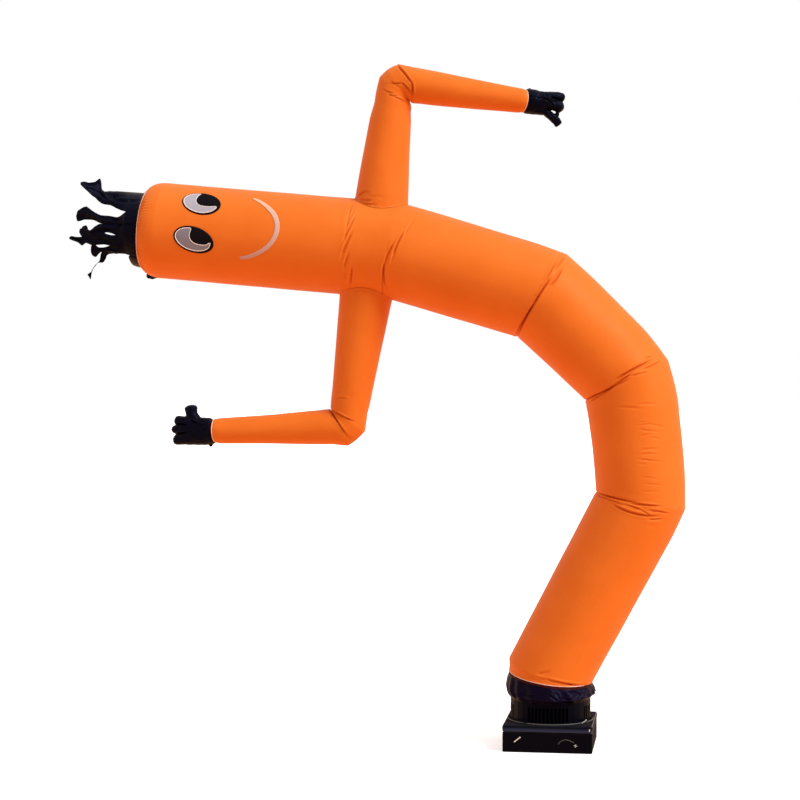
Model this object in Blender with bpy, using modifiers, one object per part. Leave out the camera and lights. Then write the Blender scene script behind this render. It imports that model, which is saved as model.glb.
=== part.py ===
"""An inflatable air dancer on its blower, in metres, +Z up.

The origin is the middle of the blower's underside. The dancer bends in the XZ plane and
faces -Y: a tapered nylon tube rises from a cuff on the fan's shroud, leans over to the
right, arches back to the left and ends in a head that lies nearly level, with two sleeves,
two glove hands and a cut fringe of hair.
"""
import math
from collections import namedtuple

import bmesh
import bpy
from mathutils import Matrix, Vector

# ---- driving dimensions -------------------------------------------------------------
GAP = 0.0003                 # clearance between pieces that touch
CLOTH = 0.002                # thickness of the nylon walls
PATCH = 0.001                # thickness of each sewn face patch
PATCH_GAP = 0.0005           # clearance under a patch, which curves in flat facets
AROUND = 36                  # corners round the tube, the cuff, the shroud and the hair
SLEEVE_AROUND = 20           # corners round an arm
HAND_AROUND = 12             # corners round a glove's palm, fingers and thumb

BOX_WIDTH = 0.280            # blower housing, along X
BOX_DEPTH = 0.290            # along Y
TRAY_HEIGHT = 0.0627
LID_HEIGHT = 0.022
LID_OVERHANG = 0.001
BOX_TOP = TRAY_HEIGHT + GAP + LID_HEIGHT

SHROUD_RADIUS = 0.1273       # outside of the fan's shroud
SHROUD_WALL = 0.004
SHROUD_TOP = 0.178
FOOT_WIDTH = 0.0075          # flange round the shroud's foot
FOOT_HEIGHT = 0.004
SLOT_HEIGHT = 0.044          # air intake slots above the foot
SLOT_WIDTH = 0.0078
SLOTS_IN_WINDOW = 11
SLOT_PITCH = 5.6             # degrees between slots
WINDOWS = 4                  # groups of slots, one on each side

HEM_TILT = -7.0              # degrees: the tube's lower hem slopes down to the right
HEM_HEIGHT = 0.214
HEM_RADIUS = 0.1305
CUFF_LAP = 0.008             # how far the cuff reaches up inside the hem

CROWN_RADIUS = 0.125         # hair opening at the end of the head
CROWN_LENGTH = 0.058         # along the rounded shoulder of the head
CROWN_STEPS = 4
CREASE_REACH = 0.016         # from a crease to the full tube on either side
CREASE_SWELL = 0.002         # the tube stands proud by this beside a crease
CORNER_REACH = 0.085         # the outer corner of a bend is rounded off this far from it

# The tube's bends from the hem to the crown: where its centre line turns, its radius
# there, how deep the crease is on the inner side and how much is off the outer corner.
Bend = namedtuple("Bend", "name x z radius crease corner")
BENDS = (
    Bend("hem", 0.000, HEM_HEIGHT, HEM_RADIUS, 0.000, 0.000),
    Bend("ankle", 0.001, 0.234, 0.1340, 0.000, 0.000),
    Bend("knee", 0.286, 0.781, 0.1400, 0.010, 0.008),
    Bend("hip", 0.245, 1.163, 0.1430, 0.010, 0.018),
    Bend("waist", -0.027, 1.428, 0.1500, 0.010, 0.012),
    Bend("chest", -0.503, 1.573, 0.1535, 0.006, 0.004),
    Bend("collar", -0.637, 1.5848, 0.1540, 0.003, 0.000),
    Bend("crown", -1.253, 1.6389, 0.1540, 0.000, 0.000),
)

# Rings of a sleeve, from inside the tube to the wrist: centre, slope of the ring in the
# XZ plane in degrees, half width in that plane and half depth along Y.
Ring = namedtuple("Ring", "name x z slope half_width half_depth")
UPPER_SLEEVE = (
    Ring("root", -0.5495, 1.655, -5.7, 0.0890, 0.0890),
    Ring("armhole", -0.5430, 1.722, -5.7, 0.0857, 0.0857),
    Ring("bicep", -0.5288, 1.860, -5.7, 0.0752, 0.0752),
    Ring("upper_arm", -0.5137, 1.986, -5.7, 0.0657, 0.0657),
    Ring("elbow_start", -0.5068, 2.027, -14.8, 0.0595, 0.0608),
    Ring("elbow_back", -0.4983, 2.079, -41.4, 0.0658, 0.0568),
    Ring("elbow_fold", -0.4871, 2.0968, -56.1, 0.0572, 0.0568),
    Ring("elbow_front", -0.4665, 2.1008, -70.6, 0.0657, 0.0568),
    Ring("elbow_end", -0.4290, 2.0944, -79.2, 0.0592, 0.0583),
    Ring("forearm", -0.2640, 2.0668, -98.7, 0.0477, 0.0477),
    Ring("wrist", -0.1000, 2.0415, -98.7, 0.0377, 0.0377),
    Ring("wrist_turn", -0.0830, 2.0389, -98.7, 0.0345, 0.0345),
    Ring("wrist_end", -0.0745, 2.0376, -98.7, 0.0295, 0.0295),
)
LOWER_SLEEVE = (
    Ring("root", -0.5840, 1.485, 171.6, 0.0880, 0.0880),
    Ring("armhole", -0.5920, 1.430, 171.6, 0.0852, 0.0852),
    Ring("bicep", -0.6160, 1.270, 171.6, 0.0737, 0.0737),
    Ring("upper_arm", -0.6390, 1.115, 171.6, 0.0637, 0.0637),
    Ring("elbow_start", -0.6473, 1.070, 159.0, 0.0621, 0.0598),
    Ring("elbow_back", -0.6514, 1.0309, 146.0, 0.0668, 0.0558),
    Ring("elbow_fold", -0.6602, 1.0113, 131.6, 0.0590, 0.0553),
    Ring("elbow_front", -0.6808, 1.0050, 117.2, 0.0663, 0.0553),
    Ring("elbow_end", -0.7210, 1.0057, 111.0, 0.0591, 0.0553),
    Ring("forearm", -0.8900, 0.9987, 92.2, 0.0472, 0.0472),
    Ring("wrist", -1.0650, 0.9918, 92.2, 0.0382, 0.0382),
    Ring("wrist_turn", -1.0860, 0.9920, 92.2, 0.0345, 0.0345),
    Ring("wrist_end", -1.0960, 0.9915, 92.2, 0.0295, 0.0295),
)
ARMHOLE_INSET = 0.012        # the hole in the tube is smaller than the sleeve by this

# Soft lobes that make up a glove: a row for each end of a lobe.
Lobe = namedtuple("Lobe", "name x z radius depth")
LOWER_GLOVE = {
    "palm": (
        Lobe("tuck", -1.0840, 0.9920, 0.0266, 0.0266),
        Lobe("cuff_inner", -1.0985, 0.9917, 0.0266, 0.0266),
        Lobe("cuff_flare", -1.1020, 0.9910, 0.0415, 0.0370),
        Lobe("heel", -1.1150, 0.9910, 0.0420, 0.0350),
        Lobe("palm", -1.1500, 0.9920, 0.0440, 0.0330),
        Lobe("knuckles", -1.1900, 0.9920, 0.0430, 0.0300),
        Lobe("knuckle_end", -1.2050, 0.9920, 0.0340, 0.0240),
    ),
    "thumb": (
        Lobe("thumb_root", -1.1460, 1.0060, 0.0290, 0.0240),
        Lobe("thumb_mid", -1.1610, 1.0430, 0.0200, 0.0185),
        Lobe("thumb_tip", -1.1690, 1.0620, 0.0190, 0.0175),
    ),
    "index": (
        Lobe("index_root", -1.1750, 1.0215, 0.0155, 0.0270),
        Lobe("index_tip", -1.2090, 1.0210, 0.0150, 0.0230),
    ),
    "middle": (
        Lobe("middle_root", -1.1750, 0.9940, 0.0155, 0.0270),
        Lobe("middle_tip", -1.2140, 0.9930, 0.0150, 0.0230),
    ),
    "little": (
        Lobe("little_root", -1.1750, 0.9660, 0.0165, 0.0270),
        Lobe("little_tip", -1.2110, 0.9650, 0.0160, 0.0230),
    ),
}
UPPER_GLOVE = {
    "palm": (
        Lobe("tuck", -0.0860, 2.0394, 0.0266, 0.0266),
        Lobe("cuff_inner", -0.0720, 2.0374, 0.0266, 0.0266),
        Lobe("cuff_flare", -0.0680, 2.0380, 0.0410, 0.0370),
        Lobe("heel", -0.0500, 2.0370, 0.0385, 0.0330),
        Lobe("palm", -0.0200, 2.0350, 0.0370, 0.0310),
        Lobe("knuckles", 0.0030, 2.0390, 0.0290, 0.0270),
        Lobe("knuckle_end", 0.0120, 2.0400, 0.0210, 0.0210),
    ),
    "thumb": (
        Lobe("thumb_root", -0.0230, 2.0120, 0.0150, 0.0180),
        Lobe("thumb_mid", -0.0010, 1.9880, 0.0165, 0.0160),
        Lobe("thumb_tip", 0.0120, 1.9750, 0.0170, 0.0150),
    ),
    "index": (
        Lobe("index_root", -0.0100, 2.0530, 0.0150, 0.0250),
        Lobe("index_tip", 0.0290, 2.0510, 0.0140, 0.0210),
    ),
    "little": (
        Lobe("little_root", -0.0100, 2.0270, 0.0150, 0.0250),
        Lobe("little_tip", 0.0250, 2.0200, 0.0145, 0.0210),
    ),
}

# Hair: a tube of black cloth cut into strips, a row for each from the top on towards the
# front and round. mid and tip are places on a strip's middle line: how far past the crown
# seam, above the head's middle line and in front of it. facing is the way its cloth faces,
# in degrees from the top towards the front, and neck, flare and end scale its width halfway,
# near the tip and at the tip.
HAIR_RADIUS = 0.1266         # fits inside the rim of the crown
HAIR_LAP = 0.015             # inside the crown
HAIR_TUBE = 0.045            # uncut tube past the crown
HAIR_TUCK = 0.010            # the uncut tube is drawn up underneath by this
HAIR_ROWS = 6                # along each strip
Strip = namedtuple("Strip", "name mid tip facing neck flare end")
STRIPS = (
    Strip("top", (0.112, 0.091, 0.045), (0.232, 0.133, 0.020), 62, 0.78, 1.05, 0.15),
    Strip("high_front", (0.080, 0.076, 0.088), (0.115, 0.078, 0.082), 60, 0.60, 0.40, 0.25),
    Strip("upper_front", (0.112, 0.023, 0.095), (0.222, 0.034, 0.072), 85, 0.40, 0.78, 0.50),
    Strip("mid_front", (0.130, -0.031, 0.104), (0.235, -0.056, 0.072), 95, 0.88, 0.75, 0.12),
    Strip("low_front", (0.092, -0.078, 0.086), (0.160, -0.092, 0.062), 110, 0.42, 0.42, 0.40),
    Strip("under_front", (0.085, -0.074, 0.045), (0.138, -0.113, 0.036), 120, 0.50, 0.32, 0.30),
    Strip("bottom", (0.040, -0.138, -0.042), (-0.022, -0.158, -0.045), 190, 0.60, 0.45, 0.30),
    Strip("under_back", (0.100, -0.068, -0.070), (0.150, -0.088, -0.056), 240, 0.45, 0.42, 0.30),
    Strip("low_back", (0.115, -0.036, -0.100), (0.195, -0.045, -0.080), 260, 0.45, 0.50, 0.30),
    Strip("mid_back", (0.112, 0.024, -0.100), (0.200, 0.030, -0.080), 280, 0.40, 0.60, 0.40),
    Strip("upper_back", (0.085, 0.078, -0.084), (0.120, 0.080, -0.080), 300, 0.50, 0.45, 0.30),
    Strip("high_back", (0.100, 0.100, -0.036), (0.165, 0.112, -0.030), 320, 0.60, 0.50, 0.30),
)

# Face patches on the head: along is measured from the crown end of the head, turn is the
# angle round the tube above its front, both to the middle of the patch.
Oval = namedtuple("Oval", "name along turn length width tilt layer color")
FACE_OVALS = (
    Oval("eye_upper_rim", 0.203, 38.5, 0.128, 0.092, 8.0, 0, "black_nylon"),
    Oval("eye_upper_white", 0.203, 38.5, 0.118, 0.082, 8.0, 1, "white_nylon"),
    Oval("eye_upper_pupil", 0.221, 43.2, 0.074, 0.058, 8.0, 2, "black_nylon"),
    Oval("eye_lower_rim", 0.191, -9.2, 0.132, 0.092, 12.0, 0, "black_nylon"),
    Oval("eye_lower_white", 0.191, -9.2, 0.122, 0.082, 12.0, 1, "white_nylon"),
    Oval("eye_lower_pupil", 0.214, -4.3, 0.072, 0.058, 12.0, 2, "black_nylon"),
)
OVAL_SPOKES = 18
OVAL_RINGS = 3
SMILE_ALONG = 0.357          # centre of the smile's arc
SMILE_TURN = 12.8
SMILE_RADIUS = 0.105
SMILE_START = -97.0          # degrees round the arc, from the lower end to the upper
SMILE_END = 91.0
SMILE_WIDTH = 0.016
SMILE_TAPER = 0.6            # width at the ends, as a share of the middle
SMILE_STEPS = 20

COLORS = {                   # base colour, roughness, metallic
    "orange_nylon": ((1.00, 0.235, 0.035), 0.55, 0.0),
    "black_nylon": ((0.012, 0.012, 0.020), 0.60, 0.0),
    "white_nylon": ((0.78, 0.75, 0.76), 0.55, 0.0),
    "smile_nylon": ((0.95, 0.72, 0.55), 0.55, 0.0),
    "black_paint": ((0.013, 0.012, 0.014), 0.35, 0.3),
}


# ---- scene helpers --------------------------------------------------------------------
def clear_scene():
    for item in list(bpy.data.objects):
        bpy.data.objects.remove(item, do_unlink=True)


def new_collection(name):
    collection = bpy.data.collections.new(name)
    bpy.context.scene.collection.children.link(collection)
    return collection


def make_material(name):
    color, roughness, metallic = COLORS[name]
    material = bpy.data.materials.new(name)
    material.use_nodes = True
    shader = material.node_tree.nodes["Principled BSDF"]
    shader.inputs["Base Color"].default_value = (*color, 1.0)
    shader.inputs["Roughness"].default_value = roughness
    shader.inputs["Metallic"].default_value = metallic
    return material


def add_object(name, bm, collection, material=None, smooth=True):
    """Turn a bmesh into a named object with its own material."""
    mesh = bpy.data.meshes.new(name)
    bm.to_mesh(mesh)
    bm.free()
    item = bpy.data.objects.new(name, mesh)
    collection.objects.link(item)
    if material is not None:
        mesh.materials.append(material)
    if smooth:
        mesh.shade_smooth()
        mesh.set_sharp_from_angle(angle=math.radians(40))
    return item


def hide_cutter(item):
    item.hide_render = True
    item.display_type = "WIRE"


def add_boolean(item, cutter, operation):
    modifier = item.modifiers.new(operation.title(), "BOOLEAN")
    modifier.operation = operation
    modifier.object = cutter
    hide_cutter(cutter)


def add_wall(item, thickness=CLOTH, outward=False):
    """Give an open surface its thickness, inward from the modelled side by default."""
    modifier = item.modifiers.new("Wall", "SOLIDIFY")
    modifier.thickness = thickness
    modifier.offset = 1.0 if outward else -1.0
    modifier.use_rim = True


# ---- rings and lofts --------------------------------------------------------------------
def in_plane(degrees):
    """Unit vector in the XZ plane, at an angle up from +X."""
    return Vector((math.cos(math.radians(degrees)), 0.0, math.sin(math.radians(degrees))))


def heading(start, end):
    """Angle up from +X, in degrees, of the way from one named place to the next."""
    return math.degrees(math.atan2(end.z - start.z, end.x - start.x))


def loft(rings, closed_ends=False):
    """Skin a list of rings, each a list of as many points, into a tube facing outward."""
    bm = bmesh.new()
    rows = [[bm.verts.new(point) for point in ring] for ring in rings]
    for low, high in zip(rows, rows[1:]):
        for i in range(len(low)):
            j = (i + 1) % len(low)
            bm.faces.new((low[i], low[j], high[j], high[i]))
    if closed_ends:
        bm.faces.new(list(reversed(rows[0])))
        bm.faces.new(rows[-1])
    return bm


def ellipse(middle, slope, half_width, half_depth, around, dent=None):
    """Points round a ring whose width lies in the XZ plane and whose depth lies along Y.

    dent(share) gives how far a point is drawn in, with share running from -1 on the
    ring's low side to 1 on its high side.
    """
    across = in_plane(slope)
    points = []
    for i in range(around):
        turn = math.tau * i / around
        inset = dent(math.cos(turn)) if dent else 0.0
        points.append(middle + across * (half_width - inset) * math.cos(turn)
                      + Vector((0.0, (half_depth - inset) * math.sin(turn), 0.0)))
    return points


def smooth_step(value):
    value = min(max(value, 0.0), 1.0)
    return value * value * (3.0 - 2.0 * value)


# ---- blower ------------------------------------------------------------------------------
def add_block(name, width, depth, bottom, height, rounding, collection, material):
    bm = bmesh.new()
    bmesh.ops.create_cube(bm, size=1.0)
    bmesh.ops.scale(bm, vec=(width, depth, height), verts=bm.verts)
    bmesh.ops.translate(bm, vec=(0.0, 0.0, bottom + height / 2), verts=bm.verts)
    item = add_object(name, bm, collection, material)
    modifier = item.modifiers.new("Rounding", "BEVEL")
    modifier.width = rounding
    modifier.segments = 3
    return item


def add_blower_housing(collection):
    paint = make_material("black_paint")
    add_block("blower_tray", BOX_WIDTH, BOX_DEPTH, 0.0, TRAY_HEIGHT, 0.003, collection, paint)
    add_block("blower_lid", BOX_WIDTH + 2 * LID_OVERHANG, BOX_DEPTH + 2 * LID_OVERHANG,
              TRAY_HEIGHT + GAP, LID_HEIGHT, 0.006, collection, paint)


def add_fan_shroud(collection, cutters):
    """A turned ring with a foot flange, cut by windows of narrow upright slots."""
    foot = BOX_TOP + GAP
    inner = SHROUD_RADIUS - SHROUD_WALL
    flange = SHROUD_RADIUS + FOOT_WIDTH
    outline = (
        (SHROUD_RADIUS, SHROUD_TOP),
        (SHROUD_RADIUS, foot + FOOT_HEIGHT),
        (flange, foot + FOOT_HEIGHT),
        (flange, foot),
        (inner, foot),
        (inner, SHROUD_TOP),
    )
    bm = bmesh.new()
    corners = [bm.verts.new((radius, 0.0, height)) for radius, height in outline]
    for start, end in zip(corners, corners[1:] + corners[:1]):
        bm.edges.new((start, end))
    item = add_object("fan_shroud", bm, collection, make_material("black_paint"), smooth=False)
    turn = item.modifiers.new("Turned", "SCREW")
    turn.steps = AROUND
    turn.render_steps = AROUND
    turn.use_merge_vertices = True
    turn.merge_threshold = 0.00001

    bm = bmesh.new()
    slot_middle = foot + FOOT_HEIGHT + SLOT_HEIGHT / 2 + 0.002
    for window in range(WINDOWS):
        for slot in range(SLOTS_IN_WINDOW):
            angle = window * 360 / WINDOWS + (slot - (SLOTS_IN_WINDOW - 1) / 2) * SLOT_PITCH
            outward = Vector((math.cos(math.radians(angle)), math.sin(math.radians(angle)), 0.0))
            made = bmesh.ops.create_cube(bm, size=1.0)["verts"]
            bmesh.ops.scale(bm, vec=(4 * SHROUD_WALL, SLOT_WIDTH, SLOT_HEIGHT), verts=made)
            bmesh.ops.rotate(bm, cent=(0, 0, 0), verts=made,
                             matrix=Matrix.Rotation(math.radians(angle), 3, "Z"))
            bmesh.ops.translate(bm, verts=made, vec=outward * (SHROUD_RADIUS - SHROUD_WALL / 2)
                                + Vector((0.0, 0.0, slot_middle)))
    cutter = add_object("shroud_slots", bm, cutters, smooth=False)
    add_boolean(item, cutter, "DIFFERENCE")


# ---- cuff and tube -------------------------------------------------------------------------
def add_base_cuff(collection):
    """Black cuff: tied round the shroud, puffed out, and sewn up inside the tube's hem."""
    lap_radius = HEM_RADIUS - CLOTH - PATCH_GAP
    rows = (
        # height, radius, slope of the ring, depth of its gathers
        (0.1600, SHROUD_RADIUS + CLOTH + GAP, 0.0, 0.0),
        (0.1640, SHROUD_RADIUS + CLOTH + 0.0035, 0.0, 0.0012),
        (0.1720, 0.1390, -1.5, 0.0022),
        (0.1840, 0.1425, -3.5, 0.0018),
        (HEM_HEIGHT - 0.0120, 0.1395, -5.5, 0.0012),
        (HEM_HEIGHT - 0.0035, 0.1335, HEM_TILT, 0.0005),
        (HEM_HEIGHT - 0.0009, lap_radius, HEM_TILT, 0.0),
        (HEM_HEIGHT + CUFF_LAP, lap_radius, HEM_TILT, 0.0),
    )
    rings = []
    for height, radius, slope, gather in rows:
        ring = ellipse(Vector((0.0, 0.0, height)), slope, radius, radius, AROUND)
        middle = Vector((0.0, 0.0, height))
        for i in range(0, AROUND, 3):
            ring[i] += (middle - ring[i]).normalized() * gather
        rings.append(ring)
    add_wall(add_object("base_cuff", loft(rings), collection, make_material("black_nylon")))


def tube_rings(grow=0.0):
    """Rings of the bent tube from hem to crown, with a crease on the inside of each bend."""
    ways = [heading(start, end) for start, end in zip(BENDS, BENDS[1:])]
    slopes = [HEM_TILT]
    slopes += [(before + after) / 2 - 90 for before, after in zip(ways, ways[1:])]
    slopes += [ways[-1] - 90]
    turns = [0.0] + [after - before for before, after in zip(ways, ways[1:])] + [0.0]
    rings = []
    for number, (start, end) in enumerate(zip(BENDS, BENDS[1:])):
        length = math.dist((start.x, start.z), (end.x, end.z))
        reaches = [reach for reach in (0.0, CREASE_REACH, CORNER_REACH) if reach * 2.5 < length]
        stops = reaches + [length - reach for reach in reversed(reaches)]
        for stop in stops[:-1]:
            share = stop / length
            middle = Vector((start.x, 0.0, start.z)).lerp(Vector((end.x, 0.0, end.z)), share)
            slope = slopes[number] + (slopes[number + 1] - slopes[number]) * share
            radius = start.radius + (end.radius - start.radius) * share + grow
            lean = math.radians(slope - (ways[number] - 90))
            rings.append(ellipse(middle, slope, radius / math.cos(lean), radius, AROUND,
                                 dent=bend_dent(stop, length - stop, start, end,
                                                turns[number:number + 2])))
    rings += crown_rings(ways[-1], grow)
    return rings


def bend_dent(from_start, from_end, start, end, turns):
    """How far a ring is drawn in at each point by the bend that it is nearest to."""
    away, bend, turn = from_start, start, turns[0]
    if from_end < from_start:
        away, bend, turn = from_end, end, turns[1]
    inner_side = 1 if turn < 0 else -1
    crease = bend.crease if away == 0.0 else 0.0
    if bend.crease > 0.0 and 0.0 < away <= CREASE_REACH:
        crease = -CREASE_SWELL
    corner = bend.corner * max(0.0, 1.0 - away / CORNER_REACH)

    def dent(share):
        toward = share * inner_side
        return (crease * smooth_step((toward + 0.35) / 1.25)
                + corner * smooth_step((-toward - 0.2) / 0.8))
    return dent


def crown_rings(way, grow=0.0):
    """The head's rounded shoulder, from the straight tube in to the hair opening."""
    crown = BENDS[-1]
    rings = []
    for step in range(CROWN_STEPS + 1):
        angle = math.radians(84 * step / CROWN_STEPS)
        radius = CROWN_RADIUS + (crown.radius - CROWN_RADIUS) * math.cos(angle) + grow
        middle = Vector((crown.x, 0.0, crown.z)) + in_plane(way) * CROWN_LENGTH * math.sin(angle)
        rings.append(ellipse(middle, way - 90, radius, radius, AROUND))
    return rings


def sleeve_rings(table, shrink=0.0):
    return [ellipse(Vector((ring.x, 0.0, ring.z)), ring.slope, ring.half_width - shrink,
                    ring.half_depth - shrink, SLEEVE_AROUND) for ring in table]


def add_tube(collection, cutters):
    tube = add_object("body_tube", loft(tube_rings()), collection,
                      make_material("orange_nylon"))
    add_wall(tube)
    for name, table in (("upper", UPPER_SLEEVE), ("lower", LOWER_SLEEVE)):
        plug = loft(sleeve_rings(table[:3], ARMHOLE_INSET), closed_ends=True)
        add_boolean(tube, add_object("armhole_" + name, plug, cutters), "DIFFERENCE")


def add_sleeves(collection, cutters):
    """Each sleeve is trimmed to sit on the tube's outer face."""
    body = add_object("tube_outside", loft(tube_rings(GAP), closed_ends=True), cutters)
    for name, table in (("sleeve_upper", UPPER_SLEEVE), ("sleeve_lower", LOWER_SLEEVE)):
        sleeve = add_object(name, loft(sleeve_rings(table)), collection,
                            make_material("orange_nylon"))
        add_wall(sleeve)
        add_boolean(sleeve, body, "DIFFERENCE")


# ---- gloves ---------------------------------------------------------------------------------
def lobe_rings(rows, blunt_start):
    """Rings along one soft lobe of a glove, rounded off at its tip and its buried root."""
    rings = []
    for number, row in enumerate(rows):
        before = rows[max(number - 1, 0)]
        after = rows[min(number + 1, len(rows) - 1)]
        rings.append((row, heading(before, after)))
    first, last = rings[0], rings[-1]
    result = []
    if not blunt_start:
        result += [rounded_ring(first, -angle) for angle in (70, 38)]
    result += [rounded_ring(pair, 0) for pair in rings]
    result += [rounded_ring(last, angle) for angle in (38, 70)]
    return result


def rounded_ring(pair, angle):
    row, way = pair
    shift = in_plane(way) * row.depth * 0.75 * math.sin(math.radians(angle))
    size = math.cos(math.radians(angle))
    return ellipse(Vector((row.x, 0.0, row.z)) + shift, way - 90, row.radius * size,
                   row.depth * size, HAND_AROUND)


def add_glove(name, lobes, collection, cutters):
    glove = None
    for part, rows in lobes.items():
        bm = loft(lobe_rings(rows, blunt_start=part == "palm"), closed_ends=True)
        if glove is None:
            glove = add_object(name, bm, collection, make_material("black_nylon"))
        else:
            add_boolean(glove, add_object(name + "_" + part, bm, cutters), "UNION")


# ---- hair ------------------------------------------------------------------------------------
def add_hair(collection):
    """A cloth tube tucked in the crown, cut into strips that flop about."""
    crown = BENDS[-1]
    way = heading(BENDS[-2], crown)
    ahead = in_plane(way)
    up = in_plane(way - 90)
    seam = Vector((crown.x, 0.0, crown.z)) + ahead * CROWN_LENGTH
    front = Vector((0.0, -1.0, 0.0))

    def on_tube(angle, along, radius=HAIR_RADIUS):
        return seam + ahead * along + (up * math.cos(angle) + front * math.sin(angle)) * radius

    bm = bmesh.new()
    rows = []
    for along, tuck in ((-HAIR_LAP, 0.0), (0.006, 0.0), (HAIR_TUBE, HAIR_TUCK)):
        row = []
        for i in range(AROUND):
            angle = math.tau * i / AROUND
            underneath = smooth_step(-math.cos(angle) / 0.7)
            row.append(bm.verts.new(on_tube(angle, along, HAIR_RADIUS - tuck * underneath)))
        rows.append(row)
    for low, high in zip(rows, rows[1:]):
        for i in range(AROUND):
            j = (i + 1) % AROUND
            bm.faces.new((low[j], low[i], high[i], high[j]))

    columns = AROUND // len(STRIPS)
    half_angle = math.pi / len(STRIPS)
    for number, strip in enumerate(STRIPS):
        first = number * columns
        edge = [rows[-1][(first + j) % AROUND] for j in range(columns + 1)]
        root = (edge[0].co + edge[-1].co) / 2
        mid, tip = (seam + ahead * along + up * above + front * forward
                    for along, above, forward in (strip.mid, strip.tip))
        start_angle = math.tau * (first + columns / 2) / AROUND
        for step in range(1, HAIR_ROWS + 1):
            share = step / HAIR_ROWS
            middle = (root * (1 - share) * (1 - 2 * share) + mid * 4 * share * (1 - share)
                      + tip * share * (2 * share - 1))
            width = 1 + (strip.neck - 1) * smooth_step(share / 0.5)
            width += (strip.flare - strip.neck) * smooth_step((share - 0.5) / 0.3)
            width += (strip.end - strip.flare) * smooth_step((share - 0.8) / 0.2)
            turn = smooth_step(share / 0.6)
            angle = start_angle + (math.radians(strip.facing) - start_angle) * turn
            row = []
            for j in range(columns + 1):
                offset = (2 * j / columns - 1) * half_angle * width
                across = on_tube(angle + offset, 0.0) - on_tube(angle, 0.0)
                row.append(bm.verts.new(middle + across))
            for j in range(columns):
                bm.faces.new((edge[j + 1], edge[j], row[j], row[j + 1]))
            edge = row
    add_wall(add_object("hair", bm, collection, make_material("black_nylon")))


# ---- face -------------------------------------------------------------------------------------
def on_head(along, turn, lift):
    """A point over the head: along from the crown seam, turn in degrees above the front."""
    chest, crown = BENDS[-2], BENDS[-1]
    way = heading(chest, crown)
    seam = Vector((crown.x, 0.0, crown.z)) + in_plane(way) * CROWN_LENGTH
    outward = in_plane(way - 90) * math.sin(math.radians(turn))
    outward.y -= math.cos(math.radians(turn))
    return seam - in_plane(way) * along + outward * (crown.radius + lift)


def layer_lift(layer):
    return PATCH_GAP + layer * (PATCH + PATCH_GAP)


def arc_turn(arc):
    """Degrees round the head for a length of arc on it."""
    return math.degrees(arc / BENDS[-1].radius)


def add_oval(oval, collection):
    """An oval patch, laid on the head as rings round its middle."""
    lift = layer_lift(oval.layer)
    tilt = math.radians(oval.tilt)
    bm = bmesh.new()
    centre = bm.verts.new(on_head(oval.along, oval.turn, lift))
    inner = None
    for ring in range(1, OVAL_RINGS + 1):
        row = []
        for spoke in range(OVAL_SPOKES):
            turn = math.tau * spoke / OVAL_SPOKES
            along = oval.length / 2 * ring / OVAL_RINGS * math.cos(turn)
            upward = oval.width / 2 * ring / OVAL_RINGS * math.sin(turn)
            row.append(bm.verts.new(on_head(
                oval.along + along * math.cos(tilt) + upward * math.sin(tilt),
                oval.turn + arc_turn(upward * math.cos(tilt) - along * math.sin(tilt)), lift)))
        for i in range(OVAL_SPOKES):
            j = (i + 1) % OVAL_SPOKES
            if inner is None:
                bm.faces.new((centre, row[i], row[j]))
            else:
                bm.faces.new((inner[i], row[i], row[j], inner[j]))
        inner = row
    add_wall(add_object(oval.name, bm, collection, make_material(oval.color)), PATCH, outward=True)


def add_smile(collection):
    lift = layer_lift(0)
    bm = bmesh.new()
    before = None
    for step in range(SMILE_STEPS + 1):
        share = step / SMILE_STEPS
        turn = math.radians(SMILE_START + (SMILE_END - SMILE_START) * share)
        half = SMILE_WIDTH / 2 * (SMILE_TAPER + (1 - SMILE_TAPER) * math.sin(math.pi * share) ** 0.5)
        row = []
        for radius in (SMILE_RADIUS - half, SMILE_RADIUS + half):
            row.append(bm.verts.new(on_head(
                SMILE_ALONG + radius * math.cos(turn),
                SMILE_TURN + arc_turn(radius * math.sin(turn)), lift)))
        if before is not None:
            bm.faces.new((before[0], before[1], row[1], row[0]))
        before = row
    add_wall(add_object("smile", bm, collection, make_material("smile_nylon")), PATCH, outward=True)


def build():
    clear_scene()
    dancer = new_collection("air_dancer")
    cutters = new_collection("cutters")
    add_blower_housing(dancer)
    add_fan_shroud(dancer, cutters)
    add_base_cuff(dancer)
    add_tube(dancer, cutters)
    add_sleeves(dancer, cutters)
    add_glove("glove_upper", UPPER_GLOVE, dancer, cutters)
    add_glove("glove_lower", LOWER_GLOVE, dancer, cutters)
    add_hair(dancer)
    for oval in FACE_OVALS:
        add_oval(oval, dancer)
    add_smile(dancer)


build()
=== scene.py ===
import math

import bmesh
import bpy
import numpy as np
from mathutils import Matrix, Vector
from mathutils.bvhtree import BVHTree


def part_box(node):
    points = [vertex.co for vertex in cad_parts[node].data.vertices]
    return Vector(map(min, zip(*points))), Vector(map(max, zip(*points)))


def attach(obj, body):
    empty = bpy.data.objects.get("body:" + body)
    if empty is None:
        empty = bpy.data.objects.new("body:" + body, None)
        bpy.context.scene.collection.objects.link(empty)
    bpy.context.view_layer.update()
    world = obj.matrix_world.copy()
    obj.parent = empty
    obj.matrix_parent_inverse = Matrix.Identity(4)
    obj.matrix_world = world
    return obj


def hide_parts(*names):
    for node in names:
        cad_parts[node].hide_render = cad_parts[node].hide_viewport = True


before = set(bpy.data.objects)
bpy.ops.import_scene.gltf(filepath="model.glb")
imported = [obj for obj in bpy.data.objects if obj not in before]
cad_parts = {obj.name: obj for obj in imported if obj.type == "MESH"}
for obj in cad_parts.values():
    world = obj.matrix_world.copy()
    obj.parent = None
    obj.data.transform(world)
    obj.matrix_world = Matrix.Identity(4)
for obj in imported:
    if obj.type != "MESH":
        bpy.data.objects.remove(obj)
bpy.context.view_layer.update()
print("frame loaded,", len(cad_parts), "solids")


# camera, light and floor

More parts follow.
